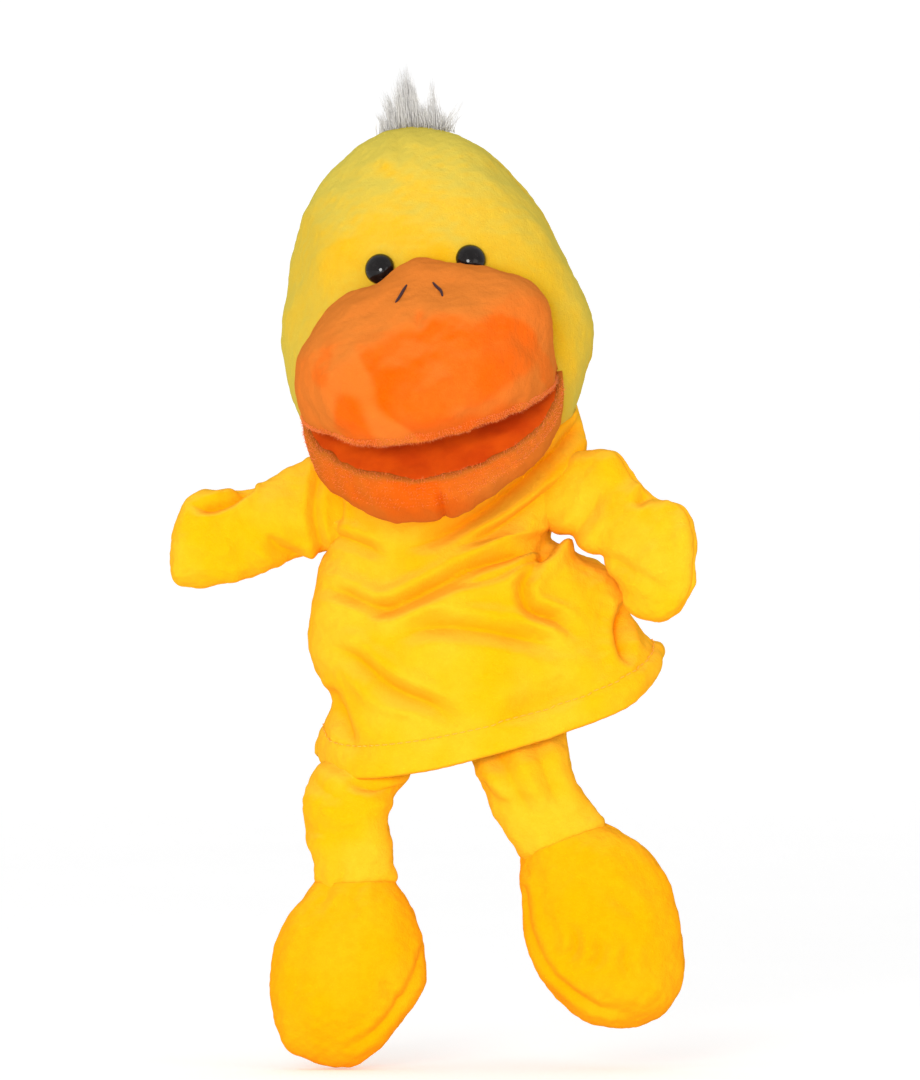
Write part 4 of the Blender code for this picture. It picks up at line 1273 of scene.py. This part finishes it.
def build_arm(looks, side, rows, folds, seed, slant, slant_from):
    middle = to_body(joint_place(f"{side}_arm_raise"))[1]
    shape = (middle, slant, slant_from, ARM_COLUMNS, LIMB_FULLNESS)
    points, shade = limb_skin(rows, ARM_LEVELS, folds, seed, 1.0, *shape)
    root, wrist = (joint_place(f"{side}_{j}") for j in ("arm_raise", "hand_fold"))
    tip = from_body(points[-1].mean(axis=0))
    ring_centres = from_body(points.mean(axis=1))
    split = int(np.linalg.norm(ring_centres - (root + (wrist - root) * 0.62), axis=1).argmin())
    sleeve, mitt = (
        sheet(name, from_body(points[part]), [looks["body_plush"]], True, caps, shade[part])
        for name, part, caps in (
            (f"{side}_sleeve_cover", slice(0, split + 1), (True, False)),
            (f"{side}_mitt_cover", slice(split, None), (False, True)),
        )
    )
    start, end = joint_frame(side, "arm_raise", 0.0, 14.0, wrist)
    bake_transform(sleeve)
    past = (from_body(points[split]) - wrist) @ (tip - wrist)
    ring_end = past.max() / np.linalg.norm(tip - wrist) / MM
    start, end = joint_frame(side, "hand_fold", ring_end + 0.5, max(ring_end + 12.0, 9.0), tip)
    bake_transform(mitt)
    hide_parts(f"{side}_sleeve", f"{side}_armhole_tape")
    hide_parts(f"{side}_mitt", f"{side}_mitt_stuffing")


def build_leg(looks, side, leg_rows, foot_rows, leg_folds, foot_folds, seed):
    middle = to_body(joint_place(f"{side}_leg_swing"))[1]
    set_back = LEG_SET_BACK * (1 - ease(np.linspace(0, 1, LEG_LEVELS), 0.12, 0.5))[:, None]
    leg_shape = dict(middle_y=middle + set_back, columns=LEG_COLUMNS, fullness=LIMB_FULLNESS)
    points, shade = limb_skin(leg_rows, LEG_LEVELS, leg_folds, seed, 0.7, **leg_shape)
    leg = sheet(f"{side}_leg_cover", from_body(points), [looks["body_plush"]], True, (True, True), shade)
    foot_shape = dict(middle_y=middle, columns=FOOT_COLUMNS, fullness=FOOT_FULLNESS)
    points, shade = limb_skin(foot_rows, FOOT_LEVELS, foot_folds, seed + 5, 0.6, **foot_shape)
    ankle_line = bell(np.arange(FOOT_LEVELS)[:, None] * 0.75, 2.0) * np.ones(FOOT_COLUMNS)
    shade = np.maximum(shade, 0.3 * ankle_line)
    foot = sheet(f"{side}_foot_cover", from_body(points), [looks["foot_plush"]], True, (True, True), shade)
    toe = from_body(points[-1].mean(axis=0))
    start, end = joint_frame(side, "foot_flex", -9.0, 3.0, toe)
    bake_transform(leg)
    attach(foot, f"{side}_foot")
    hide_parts(f"{side}_leg", f"{side}_leg_tab")
    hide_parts(*(f"{side}_foot_{part}" for part in ("top_panel", "sole_panel", "stuffing")))


# ---- Inside ----
# Arches of the pockets from their mouths in: reach from the mouth's fold, height, share of the width.
FINGER_POCKET = ((5, 17, 1), (22, 17, 1), (38, 14, 0.92), (50, 8, 0.7), (53, 2, 0.6))
THUMB_POCKET = ((27, 6.5, 1), (38, 9, 1), (48, 9, 0.9), (53, 6.5, 0.7), (55, 2, 0.6))


def build_pockets(looks):
    """Cloth pockets over the two mouth boards, for fingers and thumb."""
    for node, rows, angle, sign, half, base in (
        ("finger_pocket", FINGER_POCKET, ROOF_ANGLE, 1.0, 33.0, 5.0),
        ("thumb_pocket", THUMB_POCKET, FLOOR_ANGLE, -1.0, 17.0, 4.8),
    ):
        arch = smooth_rows(rows, 26, 2)
        turns = np.linspace(0, math.pi, 40)[None, :]
        x = half * arch[:, 2:3] * np.cos(turns)
        rise = sign * (base + arch[:, 1:2] * np.sin(turns) ** 0.8)
        out = np.broadcast_to(arch[:, 0:1], x.shape)
        slope = math.radians(angle)
        y = HINGE_Y - out * math.cos(slope) + rise * math.sin(slope)
        z = HINGE_Z + out * math.sin(slope) + rise * math.cos(slope)
        points = np.stack([x, y, z], axis=-1)
        pocket = sheet(f"{node}_cloth", from_head(points), [looks["pocket_cloth"]])
        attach(pocket, "head" if sign > 0 else "jaw")
        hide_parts(node)


def dress_frame(looks):
    """The hard parts that stay as the frame has them get their finish."""
    for side in ("left", "right"):
        mesh = frame["nodes"][f"{side}_eye_washer"].data
        mesh.materials.clear()
        mesh.materials.append(looks["washer_plastic"])


# ---- Studio ----
KEY_POWER, FILL_POWER, SKY_STRENGTH = 37.0, 5.0, 0.8
CAMERA_AIM = (4.0, 0.0, 211.2)
CAMERA_DISTANCE = 4.0  # in metres
LENS = 333.0


def build_stage():
    """A pale floor that curves up into the backdrop."""
    bend = [(math.sin(a), 1 - math.cos(a)) for a in np.linspace(0, math.pi / 2, 24)]
    profile = [(-8.0, 0.0)] + [(6.0 + y, z) for y, z in bend] + [(7.0, 8.0)]
    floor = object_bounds()[0][2] - 0.0006
    points = np.array([[(x, y, z + floor) for x in np.linspace(-8, 8, 9)] for y, z in profile])
    nodes = Nodes("studio_paper")
    place = nodes.node("ShaderNodeTexCoord").outputs["Object"]
    tone = nodes.mix(nodes.noise(place, 3.0), rgb(0.93, 0.93, 0.93), rgb(0.96, 0.96, 0.96))
    glow = dict(Emission_Color=rgb(1.0, 1.0, 1.0), Emission_Strength=0.18)
    look = nodes.surface(Base_Color=tone, Roughness=0.9, Specular_IOR_Level=0.0, **glow)
    sheet("studio_floor", points, [look])


def add_light(name, place, target, size, power):
    light = bpy.data.lights.new(name, "AREA")
    light.shape = "DISK"
    light.size = size
    light.energy = power
    made = bpy.data.objects.new(name, light)
    made.location = place
    made.rotation_euler = (Vector(target) - Vector(place)).to_track_quat("-Z", "Y").to_euler()
    bpy.context.scene.collection.objects.link(made)


def build_studio():
    build_stage()
    scene = bpy.context.scene
    scene.view_settings.view_transform = "Standard"
    world = bpy.data.worlds.new("studio")
    scene.world = world
    world.use_nodes = True
    sky = world.node_tree.nodes["Background"].inputs
    sky["Color"].default_value = (1, 1, 1, 1)
    sky["Strength"].default_value = SKY_STRENGTH
    centre = np.array((cad_box[0] + cad_box[1]) / 2)
    add_light("key", centre + (-0.35, -2.2, 0.2), centre, size=0.8, power=KEY_POWER)
    add_light("fill", centre + (1.4, -1.6, 0.1), centre, size=1.2, power=FILL_POWER)
    camera = bpy.data.objects.new("camera", bpy.data.cameras.new("camera"))
    scene.collection.objects.link(camera)
    scene.camera = camera
    camera.data.lens = LENS
    camera.data.sensor_width = 36.0
    camera.location = from_body(CAMERA_AIM) + FRONT * CAMERA_DISTANCE
    camera.rotation_euler = (math.radians(90.0), 0.0, 0.0)


# ---- The puppet ----
def build_puppet():
    looks = make_looks()
    build_torso(looks)
    build_head(looks)
    upper = build_upper_bill(looks)
    lower = build_lower_bill(looks)
    build_mouth(looks)
    build_boards(looks)
    build_nostrils(looks, upper)
    build_lip_fibres(looks, upper, lower)
    build_eyes(looks)
    build_tuft(looks)
    build_arm(looks, "left", LEFT_ARM_ROWS, LEFT_ARM_FOLDS, 61, 0.0, 0.0)
    build_arm(looks, "right", RIGHT_ARM_ROWS, RIGHT_ARM_FOLDS, 71, 0.5, 56.0)
    build_leg(looks, "left", LEFT_LEG_ROWS, LEFT_FOOT_ROWS, LEFT_LEG_FOLDS, LEFT_FOOT_FOLDS, 81)
    build_leg(looks, "right", RIGHT_LEG_ROWS, RIGHT_FOOT_ROWS, RIGHT_LEG_FOLDS, RIGHT_FOOT_FOLDS, 91)
    build_pockets(looks)
    dress_frame(looks)


build_puppet()
build_studio()
